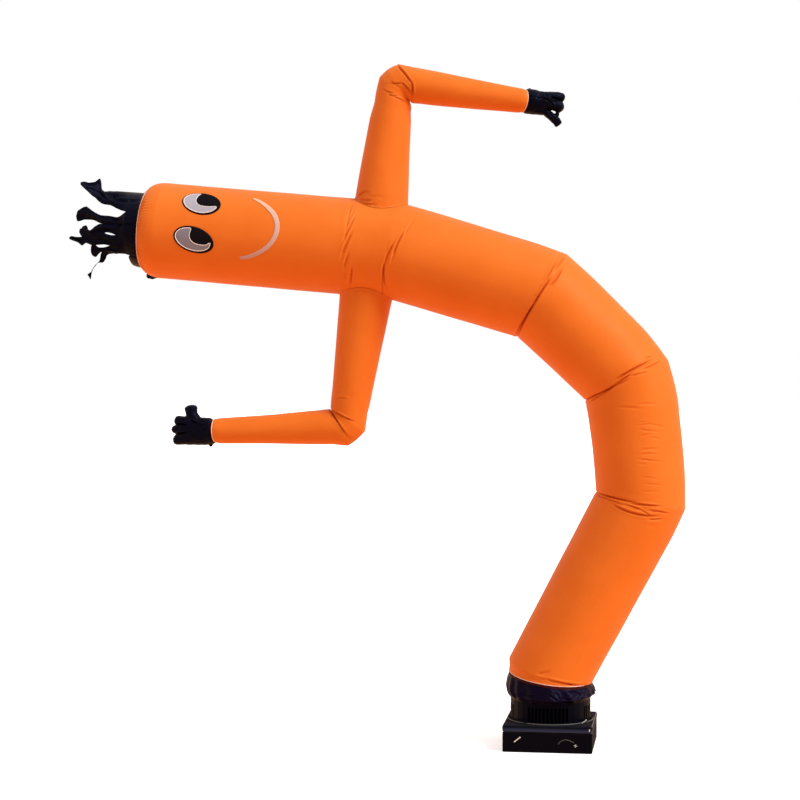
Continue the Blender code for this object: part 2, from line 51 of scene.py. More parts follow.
viewpoint = {"target": (-0.483, 0.0, 1.094), "azimuth": 8.0, "elevation": 1.75, "distance": 7.0,
             "lens": 98.56, "sensor": 36.0, "farthest": 200.0}


def addCamera():
    azimuth, elevation = math.radians(viewpoint["azimuth"]), math.radians(viewpoint["elevation"])
    target = Vector(viewpoint["target"])
    back = Vector((math.sin(azimuth) * math.cos(elevation),
                   -math.cos(azimuth) * math.cos(elevation), math.sin(elevation)))
    camera = bpy.data.objects.new("camera", bpy.data.cameras.new("camera"))
    camera.data.sensor_width = viewpoint["sensor"]
    camera.data.lens = viewpoint["lens"]
    camera.data.clip_end = viewpoint["farthest"]
    camera.location = target + back * viewpoint["distance"]
    camera.rotation_euler = (-back).to_track_quat("-Z", "Y").to_euler()
    bpy.context.scene.collection.objects.link(camera)
    bpy.context.scene.camera = camera


def toLinear(hexColor):
    # sRGB hex to linear colour with full alpha
    channels = [int(hexColor[i:i + 2], 16) / 255 for i in (1, 3, 5)]
    return tuple(c / 12.92 if c <= 0.04045 else ((c + 0.055) / 1.055) ** 2.4 for c in channels) + (1.0,)


def addNode(tree, kind, settings=None, links=None):
    # one node with its settings (sockets or properties) and what feeds its sockets
    node = tree.nodes.new(kind)
    for key, value in (settings or {}).items():
        if isinstance(key, int) or key in node.inputs:
            node.inputs[key].default_value = value
        else:
            setattr(node, key, value)
    for socket, source in (links or {}).items():
        tree.links.new(source, node.inputs[socket])
    return node


# a high side light, a warm bounce from below and a dim room in front, which keeps the blacks black
lighting = {
    "skyTop": "#e2e9f0", "skyLow": "#ffb878", "lowStrength": 1.72, "roomDim": 0.30, "roomEdge": 0.35,
    "key": {"direction": (0.66, -0.34, 0.67), "strength": 3.4, "spread": 26.0, "color": "#e6f8fa"},
    "fill": {"direction": (-0.40, -0.88, -0.16), "strength": 0.60, "spread": 60.0, "color": "#ffe2cf"},
}
paper = {"color": "#fdfdfd", "roughness": 0.9, "glow": 0.42, "reach": 30.0, "below": 0.0006}


def addSun(name, direction, strength, spread, color):
    sun = bpy.data.objects.new(name, bpy.data.lights.new(name, "SUN"))
    sun.data.energy = strength
    sun.data.angle = math.radians(spread)
    sun.data.color = toLinear(color)[:3]
    sun.rotation_euler = Vector(direction).to_track_quat("Z", "Y").to_euler()
    bpy.context.scene.collection.objects.link(sun)


def addStudio():
    # white to the camera; to everything else a sky over a warm ground, dim in front
    world = bpy.data.worlds.new("studio")
    bpy.context.scene.world = world
    world.use_nodes = True
    tree = world.node_tree
    tree.nodes.clear()
    rays = addNode(tree, "ShaderNodeLightPath")
    place = addNode(tree, "ShaderNodeTexCoord")
    split = addNode(tree, "ShaderNodeSeparateXYZ", links={"Vector": place.outputs["Generated"]})
    height = addNode(tree, "ShaderNodeMapRange", {"From Min": -1.0, "From Max": 1.0},
                     {"Value": split.outputs[2]})
    ramp = addNode(tree, "ShaderNodeMix", {"data_type": "RGBA"}, {0: height.outputs[0]})
    ramp.inputs[6].default_value = [c * lighting["lowStrength"] for c in toLinear(lighting["skyLow"])]
    ramp.inputs[7].default_value = toLinear(lighting["skyTop"])
    room = addNode(tree, "ShaderNodeMapRange",
                   {"From Min": -1.0, "From Max": -lighting["roomEdge"],
                    "To Min": lighting["roomDim"], "To Max": 1.0},
                   {"Value": split.outputs[1]})
    soft = addNode(tree, "ShaderNodeBackground",
                   links={"Color": ramp.outputs[2], "Strength": room.outputs[0]})
    white = addNode(tree, "ShaderNodeBackground", {"Color": (1, 1, 1, 1), "Strength": 1.0})
    mix = addNode(tree, "ShaderNodeMixShader", links={0: rays.outputs["Is Camera Ray"],
                                                      1: soft.outputs[0], 2: white.outputs[0]})
    addNode(tree, "ShaderNodeOutputWorld", links={"Surface": mix.outputs[0]})
    for name in ("key", "fill"):
        addSun(name, **lighting[name])
    bpy.context.scene.view_settings.view_transform = "Standard"


def addFloor():
    # white paper under the blower, which lights nothing and shows only a soft shadow
    mesh = bpy.data.meshes.new("floor")
    reach = paper["reach"]
    mesh.from_pydata([(-reach, -reach, 0), (reach, -reach, 0), (reach, reach, 0), (-reach, reach, 0)],
                     [], [(0, 1, 2, 3)])
    floor = bpy.data.objects.new("floor", mesh)
    floor.location.z = -paper["below"]
    floor.visible_diffuse = False
    floor.visible_glossy = False
    material = bpy.data.materials.new("paperWhite")
    material.use_nodes = True
    shader = material.node_tree.nodes["Principled BSDF"]
    shader.inputs["Base Color"].default_value = toLinear(paper["color"])
    shader.inputs["Roughness"].default_value = paper["roughness"]
    shader.inputs["Specular IOR Level"].default_value = 0.0
    shader.inputs["Emission Color"].default_value = (1, 1, 1, 1)
    shader.inputs["Emission Strength"].default_value = paper["glow"]
    mesh.materials.append(material)
    bpy.context.scene.collection.objects.link(floor)


addCamera()
addStudio()
addFloor()
print("camera, light and floor in place")


# materials

def newMaterial(name, settings):
    # a named material with its shader's own settings
    material = bpy.data.materials.new(name)
    material.use_nodes = True
    shader = material.node_tree.nodes["Principled BSDF"]
    for key, value in settings.items():
        shader.inputs[key].default_value = value
    return material, material.node_tree, shader


clothGrain = {"puckers": {"Detail": 3.0, "Roughness": 0.55, "Distortion": 0.4},
              "patches": {"Scale": 7.0, "Detail": 2.0}, "patchLow": 0.3, "patchHigh": 0.7}


def wovenNylon(name, light, deep, settings, threadMm, weaveDepth, puckerMm, puckerDepth):
    # plain-woven nylon: a smooth, slightly shiny cloth. Its yarns run along both UV axes, in metres
    material, tree, shader = newMaterial(name, settings)
    place = addNode(tree, "ShaderNodeUVMap", {"uv_map": "cloth"})
    threadsPerMetre = 1000.0 / threadMm
    split = addNode(tree, "ShaderNodeSeparateXYZ", links={"Vector": place.outputs[0]})
    waves = []
    for axis in (0, 1):
        turns = addNode(tree, "ShaderNodeMath", {"operation": "MULTIPLY", 1: threadsPerMetre * math.pi},
                        {0: split.outputs[axis]})
        waves.append(addNode(tree, "ShaderNodeMath", {"operation": "SINE"}, {0: turns.outputs[0]}))
    weave = addNode(tree, "ShaderNodeMath", {"operation": "MULTIPLY"},
                    {0: waves[0].outputs[0], 1: waves[1].outputs[0]})
    pucker = addNode(tree, "ShaderNodeTexNoise", {"Scale": 1000.0 / puckerMm, **clothGrain["puckers"]},
                     {"Vector": place.outputs[0]})
    patches = addNode(tree, "ShaderNodeTexNoise", clothGrain["patches"], {"Vector": place.outputs[0]})
    tone = addNode(tree, "ShaderNodeMapRange",
                   {"From Min": clothGrain["patchLow"], "From Max": clothGrain["patchHigh"]},
                   {"Value": patches.outputs[0]})
    color = addNode(tree, "ShaderNodeMix", {"data_type": "RGBA"}, {0: tone.outputs[0]})
    color.inputs[6].default_value = toLinear(deep)
    color.inputs[7].default_value = toLinear(light)
    tree.links.new(color.outputs[2], shader.inputs["Base Color"])
    soft = addNode(tree, "ShaderNodeBump", {"Strength": 1.0, "Distance": puckerDepth},
                   {"Height": pucker.outputs[0]})
    fine = addNode(tree, "ShaderNodeBump", {"Strength": 1.0, "Distance": weaveDepth},
                   {"Height": weave.outputs[0], "Normal": soft.outputs[0]})
    tree.links.new(fine.outputs[0], shader.inputs["Normal"])
    return material


# Woven nylon taffeta. Real taffeta has some 20 threads to the millimetre, too fine to show, so its
# weave is drawn at 1.6 mm. The puckers are broad and shallow where the cloth is blown tight

# dyed taffeta, even and nearly matt: broad soft light, with a faint warm gleam where it turns up
nylonOrange = wovenNylon("nylonOrange", "#df6f25", "#da6a20",
                         {"Roughness": 0.5, "Specular IOR Level": 0.16,
                          "Specular Tint": toLinear("#ffe2b8"),
                          "Sheen Weight": 0.02, "Sheen Roughness": 0.4}, 1.6, 0.00006, 30.0, 0.0008)
# black taffeta, faintly blue where it catches the sky and crumpled finely, since nothing blows it tight
nylonBlack = wovenNylon("nylonBlack", "#060616", "#04040d",
                        {"Roughness": 0.40, "Specular IOR Level": 0.088,
                         "Specular Tint": toLinear("#a8aee8")}, 1.6, 0.0001, 13.0, 0.0016)
# the cuff's taffeta is a shade more violet, with shinier folds where it is gathered
nylonIndigo = wovenNylon("nylonIndigo", "#08041c", "#060312",
                         {"Roughness": 0.38, "Specular IOR Level": 0.09,
                          "Specular Tint": toLinear("#c8b4f4")}, 1.6, 0.0001, 15.0, 0.0016)
# sewn-on eye cloth: matt and even, a warm black
nylonPupil = wovenNylon("nylonPupil", "#120c12", "#0f0a10",
                        {"Roughness": 0.6, "Specular IOR Level": 0.04}, 1.6, 0.00006, 26.0, 0.0004)
# thin white cloth over the orange: a pale lilac grey on the upper eye, and on the lower eye a darker copy of
# the same cloth, its darkness painted shade
nylonWhite = wovenNylon("nylonWhite", "#a7a0aa", "#a19aa4",
                        {"Roughness": 0.55, "Specular IOR Level": 0.2}, 1.6, 0.00006, 26.0, 0.0004)
nylonWhiteShaded = wovenNylon("nylonWhiteShaded", "#827c8c", "#7c7686",
                       {"Roughness": 0.55, "Specular IOR Level": 0.2}, 1.6, 0.00006, 26.0, 0.0004)
# a dull, very dark red band beside each edge: painted shade where each rolled edge shades the cloth under it
shadeBandRed = wovenNylon("shadeBandRed", "#430603", "#360503",
                     {"Roughness": 0.6, "Specular IOR Level": 0.1}, 1.6, 0.0001, 10.0, 0.0004)
# spun polyester overlock thread: a fine pale beaded line, some three times too thick so that it shows, and
# pale in part as a painted highlight where each rolled edge catches the light
threadPeachHighlight = wovenNylon("threadPeachHighlight", "#ffd8c6", "#f6c6b2",
                         {"Roughness": 0.6, "Specular IOR Level": 0.2}, 1.4, 0.0003, 8.0, 0.0002)
threadWhite = wovenNylon("threadWhite", "#fbf4f4", "#efe4e6",
                         {"Roughness": 0.6, "Specular IOR Level": 0.2}, 1.4, 0.0003, 8.0, 0.0002)


def sheerNylon(name, ends, settings, weaveMm, weaveDepth):
    # thin white nylon through which the orange shows more and more: its colours run along V
    # The first two ends are those of the run, the others are stops between them
    material, tree, shader = newMaterial(name, settings)
    place = addNode(tree, "ShaderNodeUVMap", {"uv_map": "cloth"})
    split = addNode(tree, "ShaderNodeSeparateXYZ", links={"Vector": place.outputs[0]})
    ramp = addNode(tree, "ShaderNodeValToRGB", links={"Fac": split.outputs[1]})
    for number, (share, color) in enumerate(ends):
        stop = ramp.color_ramp.elements[number] if number < 2 else ramp.color_ramp.elements.new(share)
        stop.position, stop.color = share, toLinear(color)
    tree.links.new(ramp.outputs[0], shader.inputs["Base Color"])
    around = addNode(tree, "ShaderNodeTexCoord")
    weave = addNode(tree, "ShaderNodeTexNoise", {"Scale": 1000.0 / weaveMm, "Detail": 2.0},
                    {"Vector": around.outputs["Object"]})
    bump = addNode(tree, "ShaderNodeBump", {"Strength": 1.0, "Distance": weaveDepth},
                   {"Height": weave.outputs[0]})
    tree.links.new(bump.outputs[0], shader.inputs["Normal"])
    return material


# where a coat is paler on top, scuffed or matt: shares of a face's turn upwards or to +X, and noise limits
coatWear = {
    "topFrom": 0.55, "topTo": 0.95, "blotches": {"Scale": 22.0, "Detail": 4.0, "Roughness": 0.6},
    "blotchLow": 0.35, "blotchHigh": 0.7, "sideFrom": 0.8, "sideTo": 0.97, "streakScale": (60.0, 60.0, 9.0),
    "streakLow": 0.4, "streakHigh": 0.65, "mattFrom": 0.88, "mattTo": 0.98, "mattRoughness": 0.9,
}


def powderCoat(name, base, blotchColor, settings, peelMm, peelDepth, topBlotchShare, sideShare=0.0, paintedHighlight=None):
    # an even coat with a fine orange peel, paler in blotches on faces turned up and scuffed on the side that
    # faces +X
    # A painted highlight is the colour that the coat fades to downwards, and the heights where the fade ends
    # and starts: a pale band painted where a rounded edge would catch the light
    material, tree, shader = newMaterial(name, settings)
    place = addNode(tree, "ShaderNodeTexCoord").outputs["Object"]
    peel = addNode(tree, "ShaderNodeTexNoise", {"Scale": 1000.0 / peelMm, "Detail": 2.0}, {"Vector": place})
    bump = addNode(tree, "ShaderNodeBump", {"Strength": 1.0, "Distance": peelDepth},
                   {"Height": peel.outputs[0]})
    tree.links.new(bump.outputs[0], shader.inputs["Normal"])
    face = addNode(tree, "ShaderNodeNewGeometry")
    split = addNode(tree, "ShaderNodeSeparateXYZ", links={"Vector": face.outputs["Normal"]})
    upward = addNode(tree, "ShaderNodeMapRange",
                     {"From Min": coatWear["topFrom"], "From Max": coatWear["topTo"]},
                     {"Value": split.outputs[2]})
    blotch = addNode(tree, "ShaderNodeTexNoise", coatWear["blotches"], {"Vector": place})
    topBlotches = addNode(tree, "ShaderNodeMapRange",
                    {"From Min": coatWear["blotchLow"], "From Max": coatWear["blotchHigh"],
                     "To Max": topBlotchShare}, {"Value": blotch.outputs[0]})
    share = addNode(tree, "ShaderNodeMath", {"operation": "MULTIPLY"},
                    {0: upward.outputs[0], 1: topBlotches.outputs[0]})
    sideways = addNode(tree, "ShaderNodeMapRange",
                       {"From Min": coatWear["sideFrom"], "From Max": coatWear["sideTo"],
                        "To Max": sideShare}, {"Value": split.outputs[0]})
    stretch = addNode(tree, "ShaderNodeMapping", {"Scale": coatWear["streakScale"]}, {"Vector": place})
    streaks = addNode(tree, "ShaderNodeTexNoise", {"Scale": 1.0, "Detail": 3.0},
                      {"Vector": stretch.outputs[0]})
    scuff = addNode(tree, "ShaderNodeMapRange",
                    {"From Min": coatWear["streakLow"], "From Max": coatWear["streakHigh"]},
                    {"Value": streaks.outputs[0]})
    both = addNode(tree, "ShaderNodeMath", {"operation": "MULTIPLY_ADD"},
                   {0: sideways.outputs[0], 1: scuff.outputs[0], 2: share.outputs[0]})
    color = addNode(tree, "ShaderNodeMix", {"data_type": "RGBA"}, {0: both.outputs[0]})
    color.inputs[6].default_value = toLinear(base)
    color.inputs[7].default_value = toLinear(blotchColor)
    tree.links.new(color.outputs[2], shader.inputs["Base Color"])
    # the painted highlight: full below the lower height, gone above the higher
    if paintedHighlight:
        highlightColor, low, high = paintedHighlight
        height = addNode(tree, "ShaderNodeSeparateXYZ", links={"Vector": place})
        fade = addNode(tree, "ShaderNodeMapRange", {"From Min": low, "From Max": high},
                       {"Value": height.outputs[2]})
        coat = addNode(tree, "ShaderNodeMix", {"data_type": "RGBA"}, {0: fade.outputs[0]})
        coat.inputs[6].default_value = toLinear(highlightColor)
        coat.inputs[7].default_value = toLinear(base)
        tree.links.new(coat.outputs[2], color.inputs[6])
    # faces turned up and scuffed faces are matt
    worn = addNode(tree, "ShaderNodeMath", {"operation": "MAXIMUM"},
                   {0: split.outputs[2], 1: split.outputs[0 if sideShare else 2]})
    dull = addNode(tree, "ShaderNodeMapRange",
                   {"From Min": coatWear["mattFrom"], "From Max": coatWear["mattTo"],
                    "To Min": settings["Roughness"], "To Max": coatWear["mattRoughness"]},
                   {"Value": worn.outputs[0]})
    tree.links.new(dull.outputs[0], shader.inputs["Roughness"])
    return material


# the smile's sheer white nylon: peach at its upper end, pinker and greyer towards the lower
nylonPeach = sheerNylon("nylonPeach",
                        ((0.0, "#e1ad88"), (1.0, "#bf9190"), (0.45, "#cea59a"), (0.75, "#c89890")),
                        {"Roughness": 0.55, "Specular IOR Level": 0.2}, 4.0, 0.0002)
# powder-coated sheet steel: a near black satin with a fine orange peel, paler brown in blotches on top and
# scuffed
enamelBlack = powderCoat("enamelBlack", "#060508", "#4a3d35",
                         {"Roughness": 0.34, "Specular IOR Level": 0.06,
                          "Specular Tint": toLinear("#c0c2f4")}, 1.8, 0.00015, 0.5, 0.35)
# the lid's coat is glossier and almost black, and pales to a dusky blue towards its lower edge: a painted
# highlight band
enamelLid = powderCoat("enamelLid", "#070a14", "#2a211d",
                       {"Roughness": 0.26, "Specular IOR Level": 0.10,
                        "Specular Tint": toLinear("#c4cdf0")},
                       1.8, 0.00015, 0.85, 0.5, ("#363d58", 0.065, 0.078))
# moulded ABS: black and slightly soft in its gloss, with a fine spark-eroded grain
mouldedAbs = powderCoat("mouldedAbs", "#04040a", "#15110f",
                        {"Roughness": 0.42, "Specular IOR Level": 0.06,
                         "Specular Tint": toLinear("#a8b2f8")}, 1.2, 0.0001, 0.4)
# moulded rubber, bloomed to a dull mid grey; on the gasket under the shroud the pale grey line is in part a
# painted highlight along the shroud's foot
rubberGreyHighlight = powderCoat("rubberGreyHighlight", "#575757", "#625e59",
                        {"Roughness": 0.5, "Specular IOR Level": 0.4}, 1.0, 0.0001, 0.5)
# bright zinc-plated steel, its near-white base in part a painted glint and in part a thin oxide, so that
# small fittings glint without mirroring
zincSteelGlint = powderCoat("zincSteelGlint", "#dcdbd8", "#b5afa6",
                       {"Roughness": 0.3, "Metallic": 0.3}, 0.8, 0.00005, 0.3)
print("materials made")


# mesh tools

def smoothStep(value):
    value = np.clip(value, 0.0, 1.0)
    return value * value * (3.0 - 2.0 * value)


def inPlane(degrees):
    return np.array((math.cos(math.radians(degrees)), 0.0, math.sin(math.radians(degrees))))


def ripple(u, v, seed):
    # smooth waves of uneven size, from -1 to 1, for cloth that is never quite even
    # Each of the five is finer than the one before and runs another way, so that nothing repeats
    total = 0.0
    for number in range(5):
        turn = 1.9 * number + 0.73 * seed
        total = total + np.sin(u * (1.0 + 0.62 * number) * math.cos(turn)
                               + v * (1.0 + 0.62 * number) * math.sin(turn) + 2.1 * seed + number)
    return total / 5.0


def gridFaces(rows, columns, closed, first=0):
    # quads of a grid of points, wound so that row by row, column by column faces out
    wrap = columns if closed else columns - 1
    faces = []
    for row in range(rows - 1):
        base = first + row * columns
        for column in range(wrap):
            after = (column + 1) % columns
            faces.append((base + column, base + after, base + columns + after, base + columns + column))
    return faces


def addPiece(name, points, faces, material, uv=None):
    mesh = bpy.data.meshes.new(name)
    mesh.from_pydata([tuple(p) for p in points], [], faces)
    mesh.materials.append(material)
    layer = mesh.uv_layers.new(name="cloth")
    corners = np.empty(len(mesh.loops), dtype=np.int32)
    mesh.loops.foreach_get("vertex_index", corners)
    if uv is None:
        uv = np.array([(p[0], p[2]) for p in points])
    layer.data.foreach_set("uv", np.asarray(uv, dtype=np.float32)[corners].ravel())
    mesh.shade_smooth()
    piece = bpy.data.objects.new(name, mesh)
    bpy.context.scene.collection.objects.link(piece)
    return piece


def facingOut(faces, points, centre):
    # the faces, turned over if they look towards the centre
    total = 0.0
    for face in faces[::7]:
        corners = [np.asarray(points[i]) for i in face[:3]]
        total += np.cross(corners[1] - corners[0], corners[2] - corners[0]) @ (corners[0] - centre)
    return faces if total >= 0 else [tuple(reversed(face)) for face in faces]


def standFor(piece, slot, *nodes):
    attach(piece, "root")
    if nodes:
        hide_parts(*nodes)
    return piece


def bakeModifiers(piece):
    # applies what is on the piece, so that the mesh itself has the shape
    graph = bpy.context.evaluated_depsgraph_get()
    mesh = bpy.data.meshes.new_from_object(piece.evaluated_get(graph), depsgraph=graph)
    piece.modifiers.clear()
    piece.data = mesh
    return piece


def vertexArrays(mesh):
    # the mesh's points and their normals
    points, normals = np.empty(len(mesh.vertices) * 3), np.empty(len(mesh.vertices) * 3)
    mesh.vertices.foreach_get("co", points)
    mesh.vertex_normals.foreach_get("vector", normals)
    return points.reshape(-1, 3), normals.reshape(-1, 3)


# deeper and narrower scale every fold line. A fold has a groove with a low shoulder on either side
foldCut = {"deeper": 2.0, "narrower": 0.74, "sharpness": 1.4, "shoulder": 0.26, "lean": 0.55,
           "shoulderAt": 2.5, "shoulderWide": 1.3, "reach": 6, "fadeOut": 1.3, "wrap": 2.5,
           "thinEnd": 0.1, "taper": 0.3, "steps": 12}


def foldCurve(start, middle, end):
    # a smooth line through three places
    share = np.linspace(0.0, 1.0, foldCut["steps"] + 1)[:, None]
    a, b, c = (np.array(place) / 1000.0 for place in (start, middle, end))
    return a * (1 - share) * (1 - 2 * share) + b * 4 * share * (1 - share) + c * share * (2 * share - 1)


def nearestOnPath(flat, path):
    # for each place: how far the path is, how far along it and on which hand
    away = np.full(len(flat), np.inf)
    where, hand = np.zeros(len(flat)), np.zeros(len(flat))
    for number, (low, high) in enumerate(zip(path, path[1:])):
        way = high - low
        along = np.clip(((flat - low) @ way) / max(way @ way, 1e-12), 0.0, 1.0)
        off = flat - low - along[:, None] * way
        distance = np.linalg.norm(off, axis=1)
        closer = distance < away
        away[closer] = distance[closer]
        where[closer] = ((number + along) / (len(path) - 1))[closer]
        hand[closer] = np.sign(way[0] * off[:, 1] - way[1] * off[:, 0])[closer]
    return away, where, hand


def pressFolds(points, outward, lines, backShare=0.7, backShift=(0.004, 0.006)):
    # how far each point is drawn in by the fold lines
    # A line is three places (x, z) in millimetres on the front, its depth and its half width
    # The back gets the same folds, a little shallower and moved
    inset = np.zeros(len(points))
    flat = points[:, (0, 2)]
    sides = [(-1, 1.0, (0.0, 0.0))]
    if backShare:
        sides.append((1, backShare, backShift))
    for start, middle, end, depth, width in lines:
        depth = depth / 1000.0 * foldCut["deeper"]
        width = width / 1000.0 * foldCut["narrower"]
        reach = foldCut["reach"] * width
        for side, factor, shift in sides:
            facing = smoothStep(0.5 + foldCut["wrap"] * outward[:, 1] * side)
            path = foldCurve(start, middle, end) + np.array(shift)
            low, high = path.min(axis=0) - reach, path.max(axis=0) + reach
            near = np.nonzero((facing > 0.01) & np.all((flat > low) & (flat < high), axis=1))[0]
            if not len(near):
                continue
            away, where, hand = nearestOnPath(flat[near], path)
            taper = foldCut["thinEnd"] + (1 - foldCut["thinEnd"]) * smoothStep(
                where / foldCut["taper"]) * smoothStep((1 - where) / foldCut["taper"])
            ends = smoothStep(foldCut["fadeOut"] - foldCut["fadeOut"] * away / reach)
            groove = np.exp(-(away / width) ** foldCut["sharpness"])
            shoulder = foldCut["shoulder"] * (1 + foldCut["lean"] * hand)
            groove -= shoulder * np.exp(-((away - foldCut["shoulderAt"] * width)
                                          / (foldCut["shoulderWide"] * width)) ** 2)
            inset[near] += depth * groove * taper * ends * facing[near] * factor
    return inset


# body tube

# each bend of the tube: its place and radius, how deep its crease is and how much its outer corner is
# rounded off, and how far from it the rows are fine. The stretch that starts there bows to one side by
# bow, and its rows are at most row apart
bendNames = ("name", "x", "z", "radius", "crease", "corner", "fine", "bow", "row")
bends = [dict(zip(bendNames, row)) for row in (
    ("hem", 0.000, 0.2225, 0.1308, 0.000, 0.000, 0.020, 0.000, 0.0040),
    ("ankle", 0.001, 0.240, 0.1340, 0.000, 0.000, 0.020, 0.000, 0.0125),
    ("knee", 0.286, 0.781, 0.1400, 0.015, 0.007, 0.045, 0.0045, 0.0025),
    ("hip", 0.245, 1.163, 0.1430, 0.015, 0.016, 0.052, 0.001, 0.0125),
    ("waist", -0.027, 1.428, 0.1500, 0.015, 0.005, 0.050, 0.000, 0.0125),
    ("chest", -0.503, 1.572, 0.1535, 0.006, 0.003, 0.045, 0.000, 0.0020),
    ("collar", -0.637, 1.5832, 0.1540, 0.003, 0.000, 0.060, 0.000, 0.0125),
    ("crown", -1.253, 1.6389, 0.1540, 0.000, 0.000, 0.000, 0.000, 0.0),
)]
tubeCut = {
    "around": 128, "frontCloser": 20.0, "fineRow": 0.0013, "rowGrowth": 0.25, "clothRadius": 0.15,
    # creases inside the bends, rounded corners outside them: From and Span run from -1 to 1 across the tube
    "creaseWidth": 0.0022, "creaseSharp": 1.3, "creaseFrom": -0.35, "creaseSpan": 1.1,
    "edgeFrom": 0.7, "edgeSpan": 0.3, "edgeFade": 0.75, "swell": 0.0012, "swellAt": 0.012, "swellWide": 0.009,
    "cornerReach": 0.11, "cornerSharp": 1.5, "cornerFrom": 0.2, "cornerSpan": 0.8,
    # the lengthwise seam at the back
    "seamTurn": 100.0, "seamLap": 4.6, "seamLift": 0.0009, "seamRise": 1.5,
    # the rolled hem, which droops at the front
    "hemTilt": -7.0, "hemRoll": 0.0012, "rollAt": 0.003, "rollWide": 0.0025,
    "stitchDeep": 0.0010, "stitchAt": 0.007, "stitchWide": 0.0016, "frontDroop": 0.095, "droopReach": 0.085,
    # the blown cloth is never quite even: how much, and its waves round and along
    "uneven": 0.0006, "unevenWaves": (18, 11), "evenEnd": 0.05,
}
crownCut = {"radius": 0.125, "length": 0.058, "steps": 26, "lastTurn": 84.0, "around": 720,
            # how far the gathered edge turns in, past the last step: narrower and shorter by
            "turnedIn": ((0.0010, 0.0010), (0.0016, 0.0035), (0.0018, 0.0090), (0.0018, 0.0160)),
            "puckers": 97, "puckerDepth": 0.0056, "puckerReach": 0.030, "firstRows": 3,
            "clothFrom": 3.0, "clothRow": 0.004}

# fold lines on the front: three places (x, z), depth and half width, all in millimetres
tubeFolds = {
    "ankle": [
        ((-13, 241), (45, 227), (108, 209), 3.6, 3.6),
        ((-34, 256), (-12, 256), (12, 264), 1.6, 4.0),
        ((-30, 243), (-15, 240), (-4, 236), 1.2, 3.0),
    ],
    "knee": [
        ((118, 806), (188, 790), (236, 774), 3.1, 3.4),
        ((190, 785), (261, 752), (352, 740), 4.2, 3.8),
        ((232, 777), (264, 771), (290, 759), 2.9, 2.8),
        ((240, 780), (300, 777), (356, 771), 3.4, 3.0),
        ((284, 764), (304, 752), (320, 744), 1.7, 2.4),
        ((308, 759), (343, 756), (376, 746), 2.7, 3.0),
        ((310, 732), (334, 731), (358, 733), 2.5, 3.4),
        ((296, 714), (316, 714), (336, 711), 1.0, 3.4),
    ],
    "hip": [
        ((112, 1084), (169, 1122), (203, 1145), 4.0, 3.2),
        ((146, 1101), (179, 1125), (200, 1142), 2.4, 2.4),
        ((192, 1139), (226, 1161), (258, 1184), 4.4, 2.8),
        ((208, 1161), (259, 1194), (328, 1227), 5.2, 3.4),
        ((290, 1194), (320, 1207), (348, 1222), 3.2, 3.2),
        ((248, 1171), (284, 1182), (309, 1185), 1.8, 3.4),
        ((298, 1229), (310, 1232), (324, 1232), 1.4, 3.2),
    ],
    "shin": [
        ((206, 1079), (250, 1078), (300, 1073), 0.8, 4.2),
        ((276, 1088), (308, 1090), (338, 1089), 1.1, 3.4),
        ((280, 1030), (298, 1033), (316, 1033), 0.9, 2.8),
        ((276, 1020), (300, 1026), (326, 1028), 1.3, 2.8),
        ((310, 1026), (338, 1022), (362, 1015), 1.2, 3.0),
        ((280, 1013), (312, 1006), (348, 1004), 1.3, 2.8),
        ((286, 988), (306, 994), (328, 997), 1.2, 3.0),
        ((312, 986), (330, 984), (344, 983), 0.9, 2.8),
        ((286, 946), (314, 950), (344, 950), 1.1, 3.4),
        ((280, 931), (308, 935), (338, 934), 1.2, 3.0),
        ((276, 920), (314, 915), (354, 911), 1.4, 2.8),
        ((278, 905), (296, 903), (312, 904), 0.7, 2.8),
        ((288, 862), (316, 861), (346, 856), 0.9, 2.8),
        ((296, 843), (328, 840), (360, 837), 0.9, 2.8),
        ((292, 820), (318, 818), (344, 821), 0.6, 3.2),
    ],
    "waist": [
        ((-118, 1284), (-70, 1359), (-42, 1402), 5.0, 3.2),
        ((-50, 1390), (-22, 1435), (12, 1488), 5.4, 3.4),
        ((0, 1452), (24, 1475), (43, 1521), 4.2, 3.2),
        ((-18, 1464), (2, 1491), (20, 1538), 3.0, 3.4),
        ((18, 1503), (33, 1526), (50, 1551), 3.2, 3.0),
    ],
    "chest": [
        ((-513, 1436), (-518, 1493), (-511, 1530), 4.2, 3.4),
        ((-509, 1522), (-500, 1555), (-480, 1590), 3.8, 4.0),
        ((-488, 1541), (-471, 1586), (-448, 1634), 3.6, 3.4),
        ((-451, 1608), (-437, 1643), (-424, 1664), 1.4, 3.4),
        ((-494, 1524), (-484, 1545), (-473, 1568), 1.2, 3.2),
    ],
    "collar": [
        ((-646, 1592), (-624, 1637), (-606, 1685), 2.6, 3.4),
        ((-652, 1542), (-632, 1586), (-611, 1633), 3.2, 4.2),
        ((-644, 1506), (-634, 1534), (-623, 1560), 2.8, 4.0),
        ((-630, 1452), (-621, 1487), (-616, 1521), 3.2, 3.4),
        ((-629, 1665), (-619, 1682), (-612, 1699), 1.2, 3.0),
        ((-645, 1470), (-639, 1488), (-634, 1506), 1.6, 4.4),
    ],
}


def bendWays():
    # heading of each straight stretch and the slope of the ring at each bend, in degrees
    ways = [math.degrees(math.atan2(after["z"] - before["z"], after["x"] - before["x"]))
            for before, after in zip(bends, bends[1:])]
    slopes = [tubeCut["hemTilt"]]
    slopes += [(before + after) / 2 - 90 for before, after in zip(ways, ways[1:])]
    slopes += [ways[-1] - 90]
    turns = [0.0] + [after - before for before, after in zip(ways, ways[1:])] + [0.0]
    return ways, slopes, turns


def rowStops(length, start, end):
    # where the rows of one stretch lie: close together near its bends
    stops = [0.0]
    while stops[-1] < length:
        far = min(stops[-1] - start["fine"], length - stops[-1] - end["fine"])
        step = tubeCut["fineRow"] + max(0.0, far) * tubeCut["rowGrowth"]
        stops.append(stops[-1] + min(step, max(start["row"], tubeCut["fineRow"])))
    scale = length / stops[-1]
    return [stop * scale for stop in stops[:-1]]


